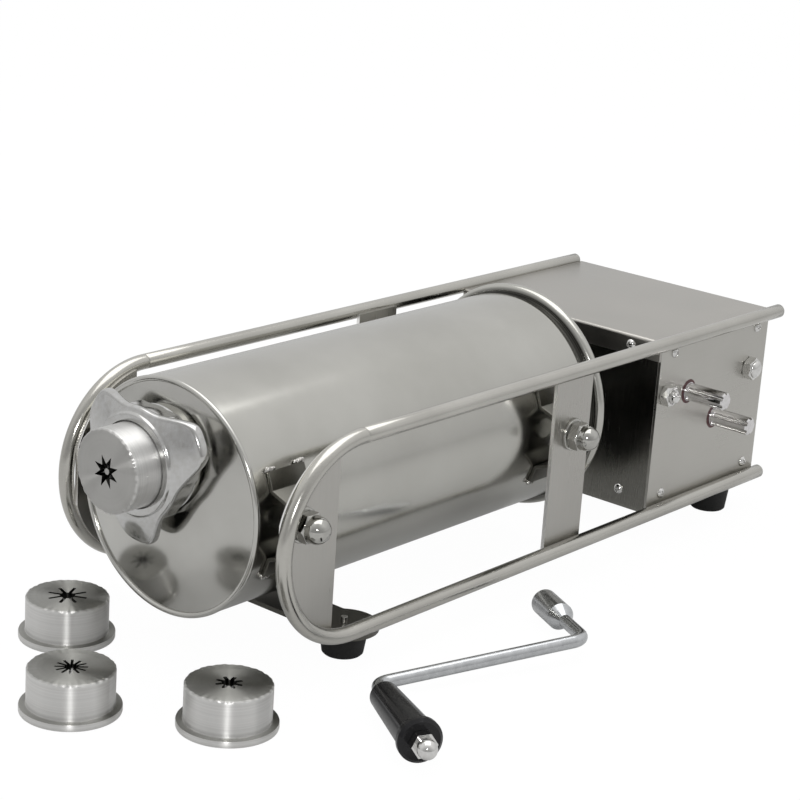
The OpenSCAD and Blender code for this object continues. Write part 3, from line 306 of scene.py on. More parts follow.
class Finish:
    """A Principled material with short names for the nodes that its pattern needs."""

    def __init__(self, name, colour, metallic=1.0, roughness=0.3):
        self.material = bpy.data.materials.new(name)
        self.material.use_nodes = True
        self.tree = self.material.node_tree
        self.shader = self.tree.nodes["Principled BSDF"]
        self.set("Base Color", (*colour, 1))
        self.set("Metallic", metallic)
        self.set("Roughness", roughness)
        self.coords = self.tree.nodes.new("ShaderNodeTexCoord").outputs["Object"]

    def set(self, socket, value):
        """A value or a node's output for one of the shader's own sockets."""
        fill(self.tree, self.shader, {socket: value})

    def vector(self, operation, first, second=(0, 0, 0)):
        """Vector Math: a length and a dot product are values, the rest are vectors."""
        node = new_node(self.tree, "ShaderNodeVectorMath", {0: first, 1: second}, operation)
        return node.outputs["Value" if operation in ("LENGTH", "DOT_PRODUCT") else "Vector"]

    def add(self, first, second, amount=1.0):
        """first + amount * second"""
        inputs = {0: second, 1: amount, 2: first}
        return new_node(self.tree, "ShaderNodeMath", inputs, "MULTIPLY_ADD").outputs["Value"]

    def range(self, source, low, high, from_low=0.3, from_high=0.7):
        """low where the source is from_low, high where it is from_high, even in between."""
        inputs = {"Value": source, "From Min": from_low, "From Max": from_high,
                  "To Min": low, "To Max": high}
        return new_node(self.tree, "ShaderNodeMapRange", inputs).outputs["Result"]

    def blend(self, factor, first, second):
        """Colour between two, each a node's output or three numbers."""
        first, second = (v if isinstance(v, bpy.types.NodeSocket) else (*v, 1) for v in (first, second))
        return mixed(self.tree, factor, first, second)

    def noise(self, scale, detail=3.0, stretch=(1, 1, 1)):
        """Noise on Object coordinates, stretched by a Mapping node."""
        place = new_node(self.tree, "ShaderNodeMapping", {"Vector": self.coords, "Scale": stretch})
        inputs = {"Vector": place.outputs["Vector"], "Scale": scale, "Detail": detail, "Roughness": 0.55}
        return new_node(self.tree, "ShaderNodeTexNoise", inputs).outputs["Fac"]

    def reach(self, centre, axis):
        """Place seen from a centre, and its distance from the axis through it."""
        off = self.vector("SUBTRACT", self.coords, centre)
        across = [0 if abs(a) > 0.5 else 1 for a in axis]
        return off, self.vector("LENGTH", self.vector("MULTIPLY", off, across))

    def radial(self, centre, axis, scale):
        """Noise on the distance from an axis, for the rings that a lathe leaves."""
        off, reach = self.reach(centre, axis)
        node = self.tree.nodes.new("ShaderNodeTexNoise")
        node.noise_dimensions = "1D"
        spread = self.add(reach, self.vector("DOT_PRODUCT", off, axis), 1.7)
        return fill(self.tree, node, {"W": spread, "Scale": scale, "Detail": 4}).outputs["Fac"]

    def round_the_axis(self, centre, axis):
        """Grain direction of turned metal: axis x (place - centre)."""
        self.set("Tangent", self.vector("CROSS_PRODUCT", axis, self.reach(centre, axis)[0]))

    def facing(self, axis):
        """1 on a face square to the axis, 0 on one that runs along it."""
        shape = self.tree.nodes.new("ShaderNodeNewGeometry")
        return self.range(self.vector("DOT_PRODUCT", shape.outputs["Normal"], axis), 0, 1, 0.5, 0.95)

    def along(self, axis):
        """How far a place lies along an axis."""
        return self.vector("DOT_PRODUCT", self.coords, axis)

    def colour(self, source):
        self.set("Base Color", source)

    def rough(self, source):
        self.set("Roughness", source)

    def bump(self, source, depth, strength=1.0, worn_edge=0.0):
        """Bump of a real depth in metres, over edges softened by worn_edge metres."""
        inputs = {"Height": source, "Strength": strength, "Distance": depth}
        if worn_edge:
            edge = new_node(self.tree, "ShaderNodeBevel", {"Radius": worn_edge})
            edge.samples = 6
            inputs["Normal"] = edge.outputs["Normal"]
        self.set("Normal", new_node(self.tree, "ShaderNodeBump", inputs).outputs["Normal"])


BRIGHT = (0.7, 0.695, 0.68)


def brushed(name, colour, darker, stretch, roughness, edge=0.35 * MM, edge_highlight=None):
    """Sheet or rod rubbed along one direction: long fine scratches over broad cloudy patches.
    The last colour, when given, is a painted highlight on the faces that look forwards."""
    f = Finish(name, colour)
    clouds = f.noise(14, 4)
    scratches = f.noise(900, 3, stretch)
    flat = f.blend(f.range(f.add(clouds, scratches, 0.35), 0, 1, 0.45, 0.95), darker, colour)
    # Painted highlight: faces that look forwards take the bright edge colour.
    f.colour(f.blend(f.facing((-1, 0, 0)), flat, edge_highlight) if edge_highlight else flat)
    f.rough(f.range(f.add(clouds, scratches, 0.5), *roughness, 0.5, 1.0))
    f.bump(scratches, 0.02 * MM, 0.35, edge)
    return f.material


def rod_steel():
    """Round bar rubbed along its length."""
    return brushed("rod_satin_steel", (0.52, 0.51, 0.475), (0.42, 0.41, 0.38), (0.02, 1, 1),
                   (0.15, 0.26), 0)


def strap_steel():
    """Flat bar rubbed upwards, with a painted highlight on its cut edges that look forwards."""
    return brushed("strap_satin_steel", (0.46, 0.45, 0.425), (0.4, 0.39, 0.365), (1, 1, 0.03),
                   (0.24, 0.36), 0, (0.95, 0.94, 0.92))


def panel_steel():
    """Side panels, rubbed lengthwise."""
    return brushed("panel_satin_steel", (0.5, 0.49, 0.46), (0.45, 0.44, 0.41), (0.04, 1, 1),
                   (0.26, 0.38))


def case_steel():
    """Front plate, base and rear plate: colour darkened as painted shade and painted dark reflection."""
    return brushed("case_shaded_steel", (0.3, 0.295, 0.27), (0.24, 0.235, 0.215), (1, 1, 0.05),
                   (0.2, 0.32))


def cover_steel():
    """Top cover, rubbed across."""
    return brushed("cover_satin_steel", (0.43, 0.415, 0.39), (0.38, 0.37, 0.345), (1, 0.04, 1),
                   (0.28, 0.4))


def plate_steel():
    """Sheet of the brackets and the inner plates, given a near-black colour as painted shade."""
    return brushed("inner_steel_painted_shade", (0.16, 0.156, 0.138), (0.11, 0.107, 0.094), (1, 1, 0.1),
                   (0.26, 0.42))


def polished_barrel():
    """Thin polished sheet: faint rings from the buffing wheel, wide waves and cloudy finger marks,
    and a near-black band of painted shade in the groove before the rolled bead."""
    f = Finish("barrel_polished_steel", (0.52, 0.515, 0.49))
    clouds = f.noise(9, 5)
    rings = f.noise(60, 3, (14, 1, 1))
    waves = f.noise(7, 2, (1, 0.6, 0.6))
    sheet = f.blend(f.range(clouds, 0, 1, 0.35, 0.7), (0.43, 0.425, 0.395), (0.505, 0.5, 0.47))
    x = f.along((1, 0, 0))
    # Painted shade: the colour turns near black over the groove before the bead, and the bead keeps the
    # sheet's colour.
    into_painted_shade = f.range(x, 0, 1, BEAD_START - 6.5 * MM, BEAD_START - 3 * MM)
    onto_bead = f.range(x, 0, 1, BEAD_START - 0.6 * MM, BEAD_START + 0.8 * MM)
    f.colour(f.blend(onto_bead, f.blend(into_painted_shade, sheet, (0.035, 0.034, 0.03)), sheet))
    f.rough(f.range(f.add(clouds, rings, 0.4), 0.13, 0.24, 0.5, 0.95))
    f.bump(f.add(waves, rings, 0.02), 1.0 * MM, 0.14)
    return f.material


def polished_head():
    """Thicker polished sheet of the dome: wide soft waves under cloudy marks."""
    f = Finish("head_polished_steel", (0.5, 0.495, 0.47))
    clouds = f.noise(16, 5)
    waves = f.noise(11, 2)
    f.colour(f.blend(f.range(clouds, 0, 1, 0.35, 0.7), (0.45, 0.445, 0.42), (0.53, 0.525, 0.5)))
    f.rough(f.range(clouds, 0.12, 0.2, 0.35, 0.75))
    f.bump(waves, 0.8 * MM, 0.2)
    return f.material


def fastener_steel(name, colour):
    """Bright bolts and nuts with fine marks from the spanner."""
    f = Finish(name, colour)
    marks = f.noise(420, 3)
    f.rough(f.range(marks, 0.04, 0.1))
    f.colour(f.blend(f.range(marks, 0, 1), [0.85 * c for c in colour], colour))
    f.bump(marks, 0.03 * MM, 0.3, 0.25 * MM)
    return f.material


def cast_nut_metal():
    """Tumbled casting: soft pits and swells under a polish."""
    f = Finish("wing_nut_polished_casting", (0.56, 0.56, 0.55))
    pits = f.noise(260, 4)
    swell = f.noise(38, 2)
    f.colour(f.blend(f.range(pits, 0, 1), (0.46, 0.455, 0.44), (0.54, 0.54, 0.535)))
    f.rough(f.range(f.add(pits, swell, 0.5), 0.08, 0.2, 0.45, 1.05))
    f.bump(f.add(swell, pits, 0.02), 0.5 * MM, 0.4)
    return f.material


def turned_steel(name, centre, axis, face):
    """Lathe-turned die: fine rings round its axis on the face and the side, so light runs into a
    streak square to the rings.  Painted shade: the walls of its slots, near the axis, are near
    black, and its face is darker than its side."""
    f = Finish(name, (0.5, 0.495, 0.475), roughness=0.42)
    f.set("Anisotropic", 0.95)
    f.set("Anisotropic Rotation", 0.25)
    f.round_the_axis(centre, axis)
    rings = f.radial(centre, axis, 5200)
    broad = f.radial(centre, axis, 420)
    # Painted shade: near the axis, the slots' walls and the pin turn near black.
    outside = f.range(f.reach(centre, axis)[1], 0, 1, 12.6 * MM, 14 * MM)
    side = f.blend(f.range(f.add(broad, rings, 0.3), 0, 1, 0.45, 0.85), (0.62, 0.615, 0.6), BRIGHT)
    side = f.blend(outside, (0.03, 0.03, 0.027), side)
    # Painted shade: faces square to the axis take the face colour, darker than the side.
    front = f.blend(f.range(rings, 0, 1), [c * 0.94 for c in face], face)
    f.colour(f.blend(f.facing(axis), side, front))
    f.rough(f.range(broad, 0.37, 0.42))
    f.bump(rings, 0.002 * MM, 0.3)
    return f.material


def gear_steel():
    """Machined steel under patches of oil."""
    f = Finish("gear_machined_steel", (0.5, 0.5, 0.49), roughness=0.3)
    marks = f.noise(700, 3, (1, 0.08, 1))
    oil = f.noise(35, 3)
    f.colour(f.blend(f.range(oil, 0, 1), (0.36, 0.355, 0.34), (0.56, 0.56, 0.55)))
    f.rough(f.range(marks, 0.22, 0.4))
    f.bump(marks, 0.02 * MM, 0.5, 0.2 * MM)
    return f.material


def crank_chrome():
    """Satin chrome of the crank's rod and socket."""
    f = Finish("crank_satin_chrome", (0.5, 0.51, 0.52), roughness=0.2)
    marks = f.noise(240, 4)
    f.colour(f.blend(f.range(marks, 0, 1), (0.44, 0.45, 0.46), (0.54, 0.55, 0.56)))
    f.rough(f.range(marks, 0.16, 0.26))
    f.bump(marks, 0.03 * MM, 0.25)
    return f.material


def shaft_chrome():
    """Fluted shaft ends: bright plating."""
    f = Finish("shaft_bright_chrome", (0.7, 0.69, 0.69), roughness=0.1)
    marks = f.noise(500, 3)
    f.colour(f.blend(f.range(marks, 0, 1), (0.6, 0.59, 0.59), (0.74, 0.73, 0.73)))
    f.rough(f.range(marks, 0.05, 0.14))
    f.bump(marks, 0.02 * MM, 0.3)
    return f.material


def black_rubber():
    """Moulded rubber with a little dust."""
    f = Finish("foot_black_rubber", (0.012, 0.012, 0.012), 0, 0.55)
    f.set("Specular IOR Level", 0.3)
    grain = f.noise(900, 4)
    dust = f.noise(60, 4)
    f.colour(f.blend(f.range(dust, 0, 1), (0.008, 0.008, 0.008), (0.018, 0.018, 0.017)))
    f.rough(f.range(grain, 0.5, 0.68))
    f.bump(grain, 0.05 * MM, 0.4)
    return f.material


def grip_plastic():
    """Glossy black grip with light scuffs."""
    f = Finish("grip_gloss_black", (0.008, 0.008, 0.009), 0, 0.18)
    f.set("Specular IOR Level", 0.3)
    scuffs = f.noise(130, 5)
    f.colour(f.blend(f.range(scuffs, 0, 1, 0.5, 0.8), (0.006, 0.006, 0.007), (0.012, 0.012, 0.013)))
    f.rough(f.range(scuffs, 0.1, 0.2))
    f.bump(scuffs, 0.03 * MM, 0.3)
    return f.material


def red_bush():
    """Dark red bushes round the shafts."""
    f = Finish("bush_dark_red", (0.12, 0.012, 0.016), 0, 0.35)
    grain = f.noise(600, 3)
    f.colour(f.blend(f.range(grain, 0, 1), (0.04, 0.004, 0.006), (0.09, 0.009, 0.012)))
    f.bump(grain, 0.02 * MM, 0.3)
    return f.material


def white_nylon():
    """Nylon of the guides and the roller."""
    f = Finish("guide_white_nylon", (0.78, 0.77, 0.73), 0, 0.42)
    grain = f.noise(500, 3)
    f.colour(f.blend(f.range(grain, 0, 1), (0.7, 0.69, 0.65), (0.82, 0.81, 0.78)))
    f.bump(grain, 0.03 * MM, 0.3, 0.3 * MM)
    return f.material


def red_silicone():
    """Silicone of the piston's seal."""
    f = Finish("seal_red_silicone", (0.55, 0.08, 0.05), 0, 0.4)
    grain = f.noise(300, 3)
    f.colour(f.blend(f.range(grain, 0, 1), (0.45, 0.06, 0.04), (0.6, 0.1, 0.07)))
    f.bump(grain, 0.03 * MM, 0.3)
    return f.material


def weld_metal():
    """Rippled bright metal of the weld beads."""
    f = Finish("weld_bright_metal", (0.62, 0.61, 0.58), roughness=0.3)
    ripple = f.noise(520, 4)
    f.colour(f.blend(f.range(ripple, 0, 1), (0.3, 0.29, 0.27), (0.62, 0.61, 0.59)))
    f.rough(f.range(ripple, 0.14, 0.34))
    f.bump(ripple, 0.3 * MM, 0.7)
    return f.material


ROD = rod_steel()
STRAP = strap_steel()
PANEL = panel_steel()
CASE = case_steel()
COVER = cover_steel()
PLATE = plate_steel()
BARREL = polished_barrel()
HEAD = polished_head()
FASTENER = fastener_steel("fastener_bright_steel", BRIGHT)
# Cap nuts and washers: the fastener finish in a darker colour, a painted dark reflection.
CAP_NUT = fastener_steel("cap_nut_steel_painted_dark_reflection", (0.46, 0.455, 0.43))
NUT = cast_nut_metal()
GEAR = gear_steel()
CHROME = crank_chrome()
SHAFT = shaft_chrome()
RUBBER = black_rubber()
GRIP = grip_plastic()
BUSH = red_bush()
NYLON = white_nylon()
SILICONE = red_silicone()
WELD = weld_metal()

NODE_FINISH = {
    ROD: ["near_side_rail", "far_side_rail"],
    STRAP: ["near_front_strap", "far_front_strap", "near_rear_strap", "far_rear_strap"],
    PANEL: ["near_panel", "far_panel"],
    CASE: ["case_channel"],
    COVER: ["top_cover"],
    PLATE: ["front_cross_plate", "near_hat_brackets", "far_hat_brackets", "near_bearing_plate",
            "far_bearing_plate", "tie_spacers"],
    BARREL: ["barrel_tube", "outlet_spout"],
    HEAD: ["barrel_head"],
    FASTENER: ["foot_screws", "barrel_studs", "strap_washers", "cap_nuts", "near_panel_screws",
               "far_panel_screws", "end_plate_screws", "front_tie_bolt", "rear_tie_bolt", "tie_nuts",
               "piston_bolt", "crank_cap_nut", "valve_spring"],
    NUT: ["wing_nut"],
    GEAR: ["large_gear", "rack_pinion", "small_pinion", "rack_bar", "piston_front_plate",
           "piston_rear_plate"],
    CHROME: ["crank_rod", "crank_socket"],
    SHAFT: ["fast_shaft", "slow_shaft"],
    RUBBER: ["front_feet", "rear_feet"],
    GRIP: ["crank_grip"],
    BUSH: ["shaft_bushes"],
    NYLON: ["rack_guides", "guide_roller", "valve_stem"],
    SILICONE: ["piston_seal"],
}


def finish_nodes():
    """Gives every CAD node its finish."""
    for finish, names in NODE_FINISH.items():
        for name in names:
            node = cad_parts[name]
            node.data.materials.clear()
            node.data.materials.append(finish)


finish_nodes()


# ---------------------------------------------------------------- frame of rods

def side_rods():
    """Each rod: upper run, half circle, lower run, with a fine joint mark where the bend starts."""
    mark_x, mark_half, mark_depth = LOOP_X + 1.5 * MM, 0.5 * MM, 0.35 * MM
    worn = np.array([0.75, 0.9, 0.97, 1.0])
    tips = np.array([0.0, 0.35, 0.7, 1.0]) * MM
    lower_back = 3 * MM

    run = np.linspace(LOOP_X, RAIL_HIGH[0] - 5 * MM, 12)
    run = np.sort(np.concatenate([run, [mark_x - mark_half, mark_x, mark_x + mark_half]]))
    top_x = np.concatenate([RAIL_HIGH[0] - tips, run[::-1][1:]])
    top = np.stack([top_x, np.full(len(run) + 3, TOP_Z)], 1)
    turn = np.linspace(0, pi, 60)[1:-1]
    middle_z = (TOP_Z + LOW_Z) / 2
    bend = np.stack([LOOP_X - LOOP_R * np.sin(turn), middle_z + LOOP_R * np.cos(turn)], 1)
    low_x = top_x[::-1]
    low_x = np.where(low_x > RAIL_HIGH[0] - 2 * MM, low_x - lower_back, low_x)
    low = np.stack([low_x, np.full(len(top), LOW_Z)], 1)
    flat = np.concatenate([top, bend, low])
    radius = np.full(len(flat), ROD_R)
    radius[:4] *= worn
    radius[-4:] *= worn[::-1]
    marked = (np.abs(flat[:, 0] - mark_x) < 0.1 * MM) & (flat[:, 1] > TOP_Z - 1e-6)
    radius[marked] -= mark_depth
    for side, y in (("near", MID_Y - RAIL_OUT), ("far", MID_Y + RAIL_OUT)):
        path = np.stack([flat[:, 0], np.full(len(flat), y), flat[:, 1]], 1)
        piece(f"{side}_rod", [rod(path, (0, 1, 0), radius, 40)], "frame", ROD,
              f"{side}_side_rail")


side_rods()


# ---------------------------------------------------------------- barrel

def barrel_pieces():
    """The tube is turned from its wall's outline, with a shallow groove and the rolled bead at its
    open end; the front end is a dome ruled between the outlet's circle and the rim's, and a round
    bead of its own lies on the rim."""
    inner = BARREL_R - WALL
    bead_x = BARREL_END - BEAD_R
    bead_turns = (-0.5 * pi - asin(BEAD_STEP / BEAD_R), 0.5 * pi + asin((BEAD_RING_R - inner) / BEAD_R))
    turn = np.linspace(*bead_turns, 28)
    bead = np.stack([bead_x + BEAD_R * np.sin(turn), BEAD_RING_R + BEAD_R * np.cos(turn)], 1)
    groove_x, groove_half, groove_depth = BEAD_START - 4 * MM, 3.4 * MM, 0.6 * MM
    across = np.linspace(-1, 1, 15)
    groove = np.stack([groove_x + across * groove_half, BARREL_R - groove_depth * (1 - across ** 2)], 1)
    straight = np.stack([np.linspace(RIM_X, groove_x - 4.5 * MM, 24), np.full(24, BARREL_R)], 1)
    profile = np.concatenate([straight, groove, bead, [(BARREL_END - 9 * MM, inner), (RIM_X, inner)]])
    centre, ahead = (0, MID_Y, BARREL_Z), (1, 0, 0)
    piece("barrel_polished_tube", [turned(profile, centre, ahead, ROUND, loop=True)], "frame", BARREL,
          "barrel_tube")

    bulge, sheet = RIM_X - HEAD_LOW[0], 1.5 * MM
    rim_r = BARREL_R - 1.4 * MM
    t = circle_turns(ROUND)
    ring = np.stack([np.cos(t), np.sin(t)], 1)
    hole = ring * 30 * MM + [0, OUTLET_Z - BARREL_Z]
    rim = ring * (rim_r - 0.8 * MM)

    def dome(spots, depth):
        reach = np.clip(np.linalg.norm(spots, axis=-1) / rim_r, 0, 1)
        x = RIM_X - (bulge - depth) * (1 - reach ** 2)
        return np.stack([x, MID_Y + spots[..., 0], BARREL_Z + spots[..., 1]], -1)
    rows = np.linspace(0, 1, 32)[:, None, None]
    ruled = hole * (1 - rows) + rim * rows
    front, back = dome(ruled, 0), dome(ruled, sheet)[::-1] + [sheet, 0, 0]
    piece("barrel_front_dome", [skin(np.concatenate([front, back]), loop=True)], "frame", HEAD,
          "barrel_head", sharp=60)

    turn = circle_turns(24)
    ring_r = BARREL_R - RIM_BEAD_R + 0.4 * MM
    band = np.stack([RIM_X + RIM_BEAD_R * np.cos(turn), ring_r + RIM_BEAD_R * np.sin(turn)], 1)
    piece("barrel_rim_bead", [turned(band, centre, ahead, ROUND, loop=True)], "frame", HEAD)


barrel_pieces()


def lump(centre, size, seed):
    """Weld bead: a ball whose radius swells by two crossed waves of its own phase."""
    lat = np.linspace(0, pi, 12)[:, None]
    lon = circle_turns(20)[None]
    waves = 0.2 * np.sin(3 * lon + seed) * np.sin(2 * lat)
    swell = 1 + waves + 0.14 * np.cos(5 * lon + 2 * seed) * np.sin(lat) ** 2
    ring = np.stack([np.sin(lat) * np.cos(lon), np.sin(lat) * np.sin(lon), np.cos(lat) + 0 * lon], -1)
    return skin(np.array(centre) + ring * swell[..., None] * size, cap_first=False, cap_last=False)


def hat_brackets():
    """Bent sheet behind each strap: two feet that follow the barrel, two webs and a face, one
    path bent round twice and carried across its width, with weld beads at the feet's corners."""
    thick, width, clear = 2.4 * MM, 29 * MM, 0.05 * MM
    foot_r = BARREL_R + thick / 2 + clear
    foot_end, web = asin(31 * MM / foot_r), radians(16.2)
    arc = np.linspace(foot_end, web + radians(1.2), 5)
    foot = np.stack([foot_r * np.cos(arc), foot_r * np.sin(arc)], 1)
    bend = np.array([[foot_r * cos(web), foot_r * sin(web)], [HAT_Y - thick / 2 - clear, 15.9 * MM]])
    half = np.concatenate([foot, bend])
    path = np.concatenate([half, half[::-1] * [1, -1]])
    web_bend, face_bend = 2 * MM, 3.2 * MM
    path = rounded(path, [0] * 5 + [web_bend, face_bend, face_bend, web_bend] + [0] * 5, 6)

    weld_r, weld_size = BARREL_R + 1.2 * MM, np.array([2.1, 1.7, 1.7]) * MM
    sheets, welds = [], []
    for n, x in enumerate((along_x(25), (REAR_STRAP_LOW[0] + REAR_STRAP_HIGH[0]) / 2)):
        spots = np.stack([np.full(len(path), x), MID_Y - path[:, 0], BARREL_Z + path[:, 1]], 1)
        sheets.append(ribbon(spots, (1, 0, 0), width, thick, 0.4 * MM))
        for k, (end, side) in enumerate(((-1, -1), (1, -1), (-1, 1), (1, 1))):
            turn = side * (foot_end + radians(0.6))
            y, z = MID_Y - weld_r * cos(turn), BARREL_Z + weld_r * sin(turn)
            for m, step in enumerate((0, 2.6, 4.6)):
                spot = (x + end * (width / 2 - 1 * MM - step * MM), y, z)
                welds.append(lump(spot, weld_size * (1 - 0.16 * m), 1.7 * n + 0.9 * k + 2.3 * m))
    for side, bent in (("near", sheets), ("far", [mirrored(v) for v in sheets])):
        piece(f"{side}_hat_brackets_bent", bent, "frame", PLATE, f"{side}_hat_brackets")
    for side, beads in (("near", welds), ("far", [mirrored(v) for v in welds])):
        piece(f"{side}_bracket_welds", beads, "frame", WELD, sharp=80)


hat_brackets()


# ---------------------------------------------------------------- outlet, nut and dies

def wing_nut_piece():
    """Rings whose radius runs from the lip to the wings' outline, which is a circle of the wings'
    reach cut by three hollow sides.  The plate slopes back towards the tips and has a full round
    edge, and the round hub stands behind it."""
    depth = NUT_HIGH[0] - NUT_LOW[0]
    reach, flat, hub = 49.3 * MM, 33.5 * MM, 33.9 * MM
    third, wing_turn, hollow_turn = 2 * pi / 3, radians(27), radians(47)
    hollow_depth, slope, sharpness = 1.1 * MM, 6 * MM, 24
    plate_x, edge_r, lip_foot = 2.4 * MM, 2.2 * MM, 30.2 * MM
    t = circle_turns(288)
    from_wing = (t + wing_turn + third / 2) % third - third / 2
    from_side = third / 2 - np.abs(from_wing)
    hollow = hollow_depth * np.sin(np.clip(from_side / hollow_turn, 0, 1) * pi) ** 2
    side = flat / np.cos(from_side) - hollow
    outline = (side ** -sharpness + reach ** -sharpness) ** (-1 / sharpness)
    fill_out = np.clip((outline - flat) / (reach - flat), 0, 1)
    half = (2.4 + 1.2 * fill_out) * MM
    edge = outline - edge_r
    hub_r = np.minimum(edge, hub)

    lip = ((2.4, 25.3), (0.5, 25.3), (0.1, 25.5), (0, 26), (0, 28.6), (0.12, 29.2), (0.5, 29.7), (1.7, 30))
    rows = [(x * MM, r * MM) for x, r in lip]
    rows += [((2 + 0.4 * s) * MM + slope * fill_out * s ** 1.15, lip_foot + (edge - lip_foot) * s)
             for s in np.linspace(0.05, 1, 10)]
    rows += [(plate_x + slope * fill_out + half * (1 - np.cos(a)), edge + edge_r * np.sin(a) ** 0.7)
             for a in np.linspace(0, pi, 11)[1:]]
    rows += [(plate_x + 2 * half + slope * fill_out * (1 - 0.8 * s) + 0.4 * MM * s,
              edge * (1 - s) + hub_r * s) for s in (0.3, 0.6, 0.85, 1.0)]
    rows += [(9.6 * MM, hub_r), (depth - 2.5 * MM, hub_r), (depth - 1 * MM, hub_r - 0.3 * MM),
             (depth, hub_r - 1.2 * MM), (depth, 31.2 * MM), (depth - 0.8 * MM, 30.35 * MM)]
    rows += [(6.9 * MM, 30.35 * MM), (6.6 * MM, 28.75 * MM), (2.6 * MM, 28.75 * MM)]
    centre = (NUT_LOW[0], MID_Y, OUTLET_Z)
    piece("three_wing_nut", [rows_skin(rows, centre, (1, 0, 0), loop=True, up=(0, -1, 0))], "nut",
          NUT, "wing_nut", sharp=50)


def from_nearest(t, count):
    """Angle between a direction and the nearest of count even rays."""
    half = pi / count
    return np.abs((t + half) % (2 * half) - half)


def spaced_rays(count, reach, root):
    """Star outline r(t) with straight sides between its tips and its roots."""
    def outline(t):
        a = from_nearest(t, count)
        root_x, root_y = root * cos(pi / count), root * sin(pi / count)
        return reach * root_y / (np.cos(a) * root_y + np.sin(a) * (reach - root_x))
    return outline


def round_slots(count, reach, width, hub):
    """Outline r(t) of round-ended slots that cross in a hub: in a slot the ray ends on its side
    or on its round end, between slots on the hub."""
    w, c = width / 2, reach - width / 2

    def outline(t):
        a = from_nearest(t, count)
        side = w / np.maximum(np.sin(a), 1e-6)
        tip = c * np.cos(a) + np.sqrt(np.clip(w ** 2 - (c * np.sin(a)) ** 2, 0, None))
        return np.maximum(np.where(side * np.cos(a) < c, side, tip), hub)
    return outline


def spider_arms(centre, axis, up, top):
    """Round pin in the die's middle and the three arms that carry it across the cup."""
    pin_r, arm_half = 2 * MM, 1 * MM
    pin_end = top - 0.5 * MM
    pin = rounded([(pin_r, 0), (pin_r, pin_r), (pin_end, pin_r), (pin_end, 0)],
                  [0, 0.3 * MM, 0.4 * MM, 0], 3)
    surfaces = [turned(pin, centre, axis, 32)]
    axis, up = np.array(axis, float), np.array(up, float)
    third = np.cross(axis, up)
    inner, outer = 0.5 * MM, CUP_R + 0.2 * MM
    box = [(inner, -arm_half), (outer, -arm_half), (outer, arm_half), (inner, arm_half)]
    for a in circle_turns(3):
        arm, across = cos(a) * up + sin(a) * third, -sin(a) * up + cos(a) * third
        surfaces.append(slab(box, np.array(centre) + axis * 2 * MM, arm, across, 4 * MM))
    return surfaces


def die_piece(name, node, body, centre, axis, up, outline, turn, painted_shade_face_colour, spider=False):
    """A die in one closed grid: down the outside from the chamfered face to the flange, back up the
    inside of the cup and out through the slots' walls."""
    t = circle_turns(720) - turn
    slot = outline(t)
    top, floor = DIE_H, DIE_H - 5 * MM
    soft, corner = 0.2 * MM, 0.7 * MM
    nick = 0.9 * MM * (1 + 0.4 * np.sin(9 * t) * np.sin(23 * t + 1))
    face = [(top, slot + 0.25 * MM), (top, slot * 0.4 + 0.6 * (DIE_R - 1.8 * MM)),
            (top, DIE_R - nick - 0.1 * MM), (top - 0.06 * MM, DIE_R - nick)]
    side = [(top - 0.92 * nick, DIE_R - 0.08 * MM), (top - nick - 0.1 * MM, DIE_R)]
    side += [(z, DIE_R) for z in np.linspace(top - 1.8 * MM, FLANGE_T + 1.2 * MM, 6)]
    side += [(FLANGE_T + 0.35 * MM, DIE_R + 0.1 * MM), (FLANGE_T, DIE_R + 0.5 * MM)]
    flange = [(FLANGE_T, FLANGE_R - corner), (FLANGE_T - 0.15 * MM, FLANGE_R - soft),
              (FLANGE_T - corner, FLANGE_R), (corner, FLANGE_R),
              (0.15 * MM, FLANGE_R - soft), (0, FLANGE_R - corner)]
    cup = [(0, CUP_R + 0.5 * MM), (0.5 * MM, CUP_R), (floor, CUP_R), (floor, slot + 0.1 * MM),
           (floor + 0.1 * MM, slot), (top - 0.25 * MM, slot)]
    surfaces = [rows_skin(face + side + flange + cup, centre, axis, loop=True, up=up)]
    if spider:
        surfaces += spider_arms(centre, axis, up, top)
    finish = turned_steel(name + "_turned_steel", centre, axis, painted_shade_face_colour)
    piece(name, surfaces, body, finish, node, sharp=42)


def die_pieces():
    """The fitted die looks along -X; the others stand on the table."""
    # Each die's last colour is its face colour, darker than its side as painted shade.
    seat = (DIE_HIGH[0], MID_Y, OUTLET_Z)
    die_piece("star_die_in_nut", "fitted_die", "die", seat, (-1, 0, 0), (0, 0, 1),
              spaced_rays(8, 9.8 * MM, 4.4 * MM), radians(22.5), (0.44, 0.435, 0.42), spider=True)
    for name, node, outline, turn in (
            ("long_slot_star_die", "long_slot_die", round_slots(8, 11.8 * MM, 1.9 * MM, 4.3 * MM), 27.5),
            ("fine_slot_star_die", "fine_slot_die", round_slots(12, 9.1 * MM, 1.5 * MM, 3.8 * MM), 15),
            ("short_slot_star_die", "short_slot_die", round_slots(8, 7.8 * MM, 2.2 * MM, 4 * MM), 19.3)):
        x, y, _ = size_of(node)[2]
        die_piece(name, node, "frame", (x, y, 0), (0, 0, 1), (1, 0, 0), outline, radians(turn),
                  (0.31, 0.308, 0.29))


wing_nut_piece()
die_pieces()


# ---------------------------------------------------------------- fasteners

HEX_POINTS = 96


def hex_rows(height, corner_r):
    """Rows of a hexagonal prism whose corners are cut by a 30 degree cone at both ends."""
    flat = corner_r * cos(pi / 6)
    t = circle_turns(HEX_POINTS)
    outline = corner_r * cos(pi / 6) / np.cos((t + pi / 6) % (pi / 3) - pi / 6)
    slope = tan(radians(60))
    cone_r = flat * 0.97
    depth = (corner_r - cone_r) / slope
    cut_rows = [(depth * s, np.minimum(outline, cone_r + depth * s * slope)) for s in np.linspace(0, 1, 5)]
    return cut_rows + [(height - z, r) for z, r in cut_rows[::-1]]


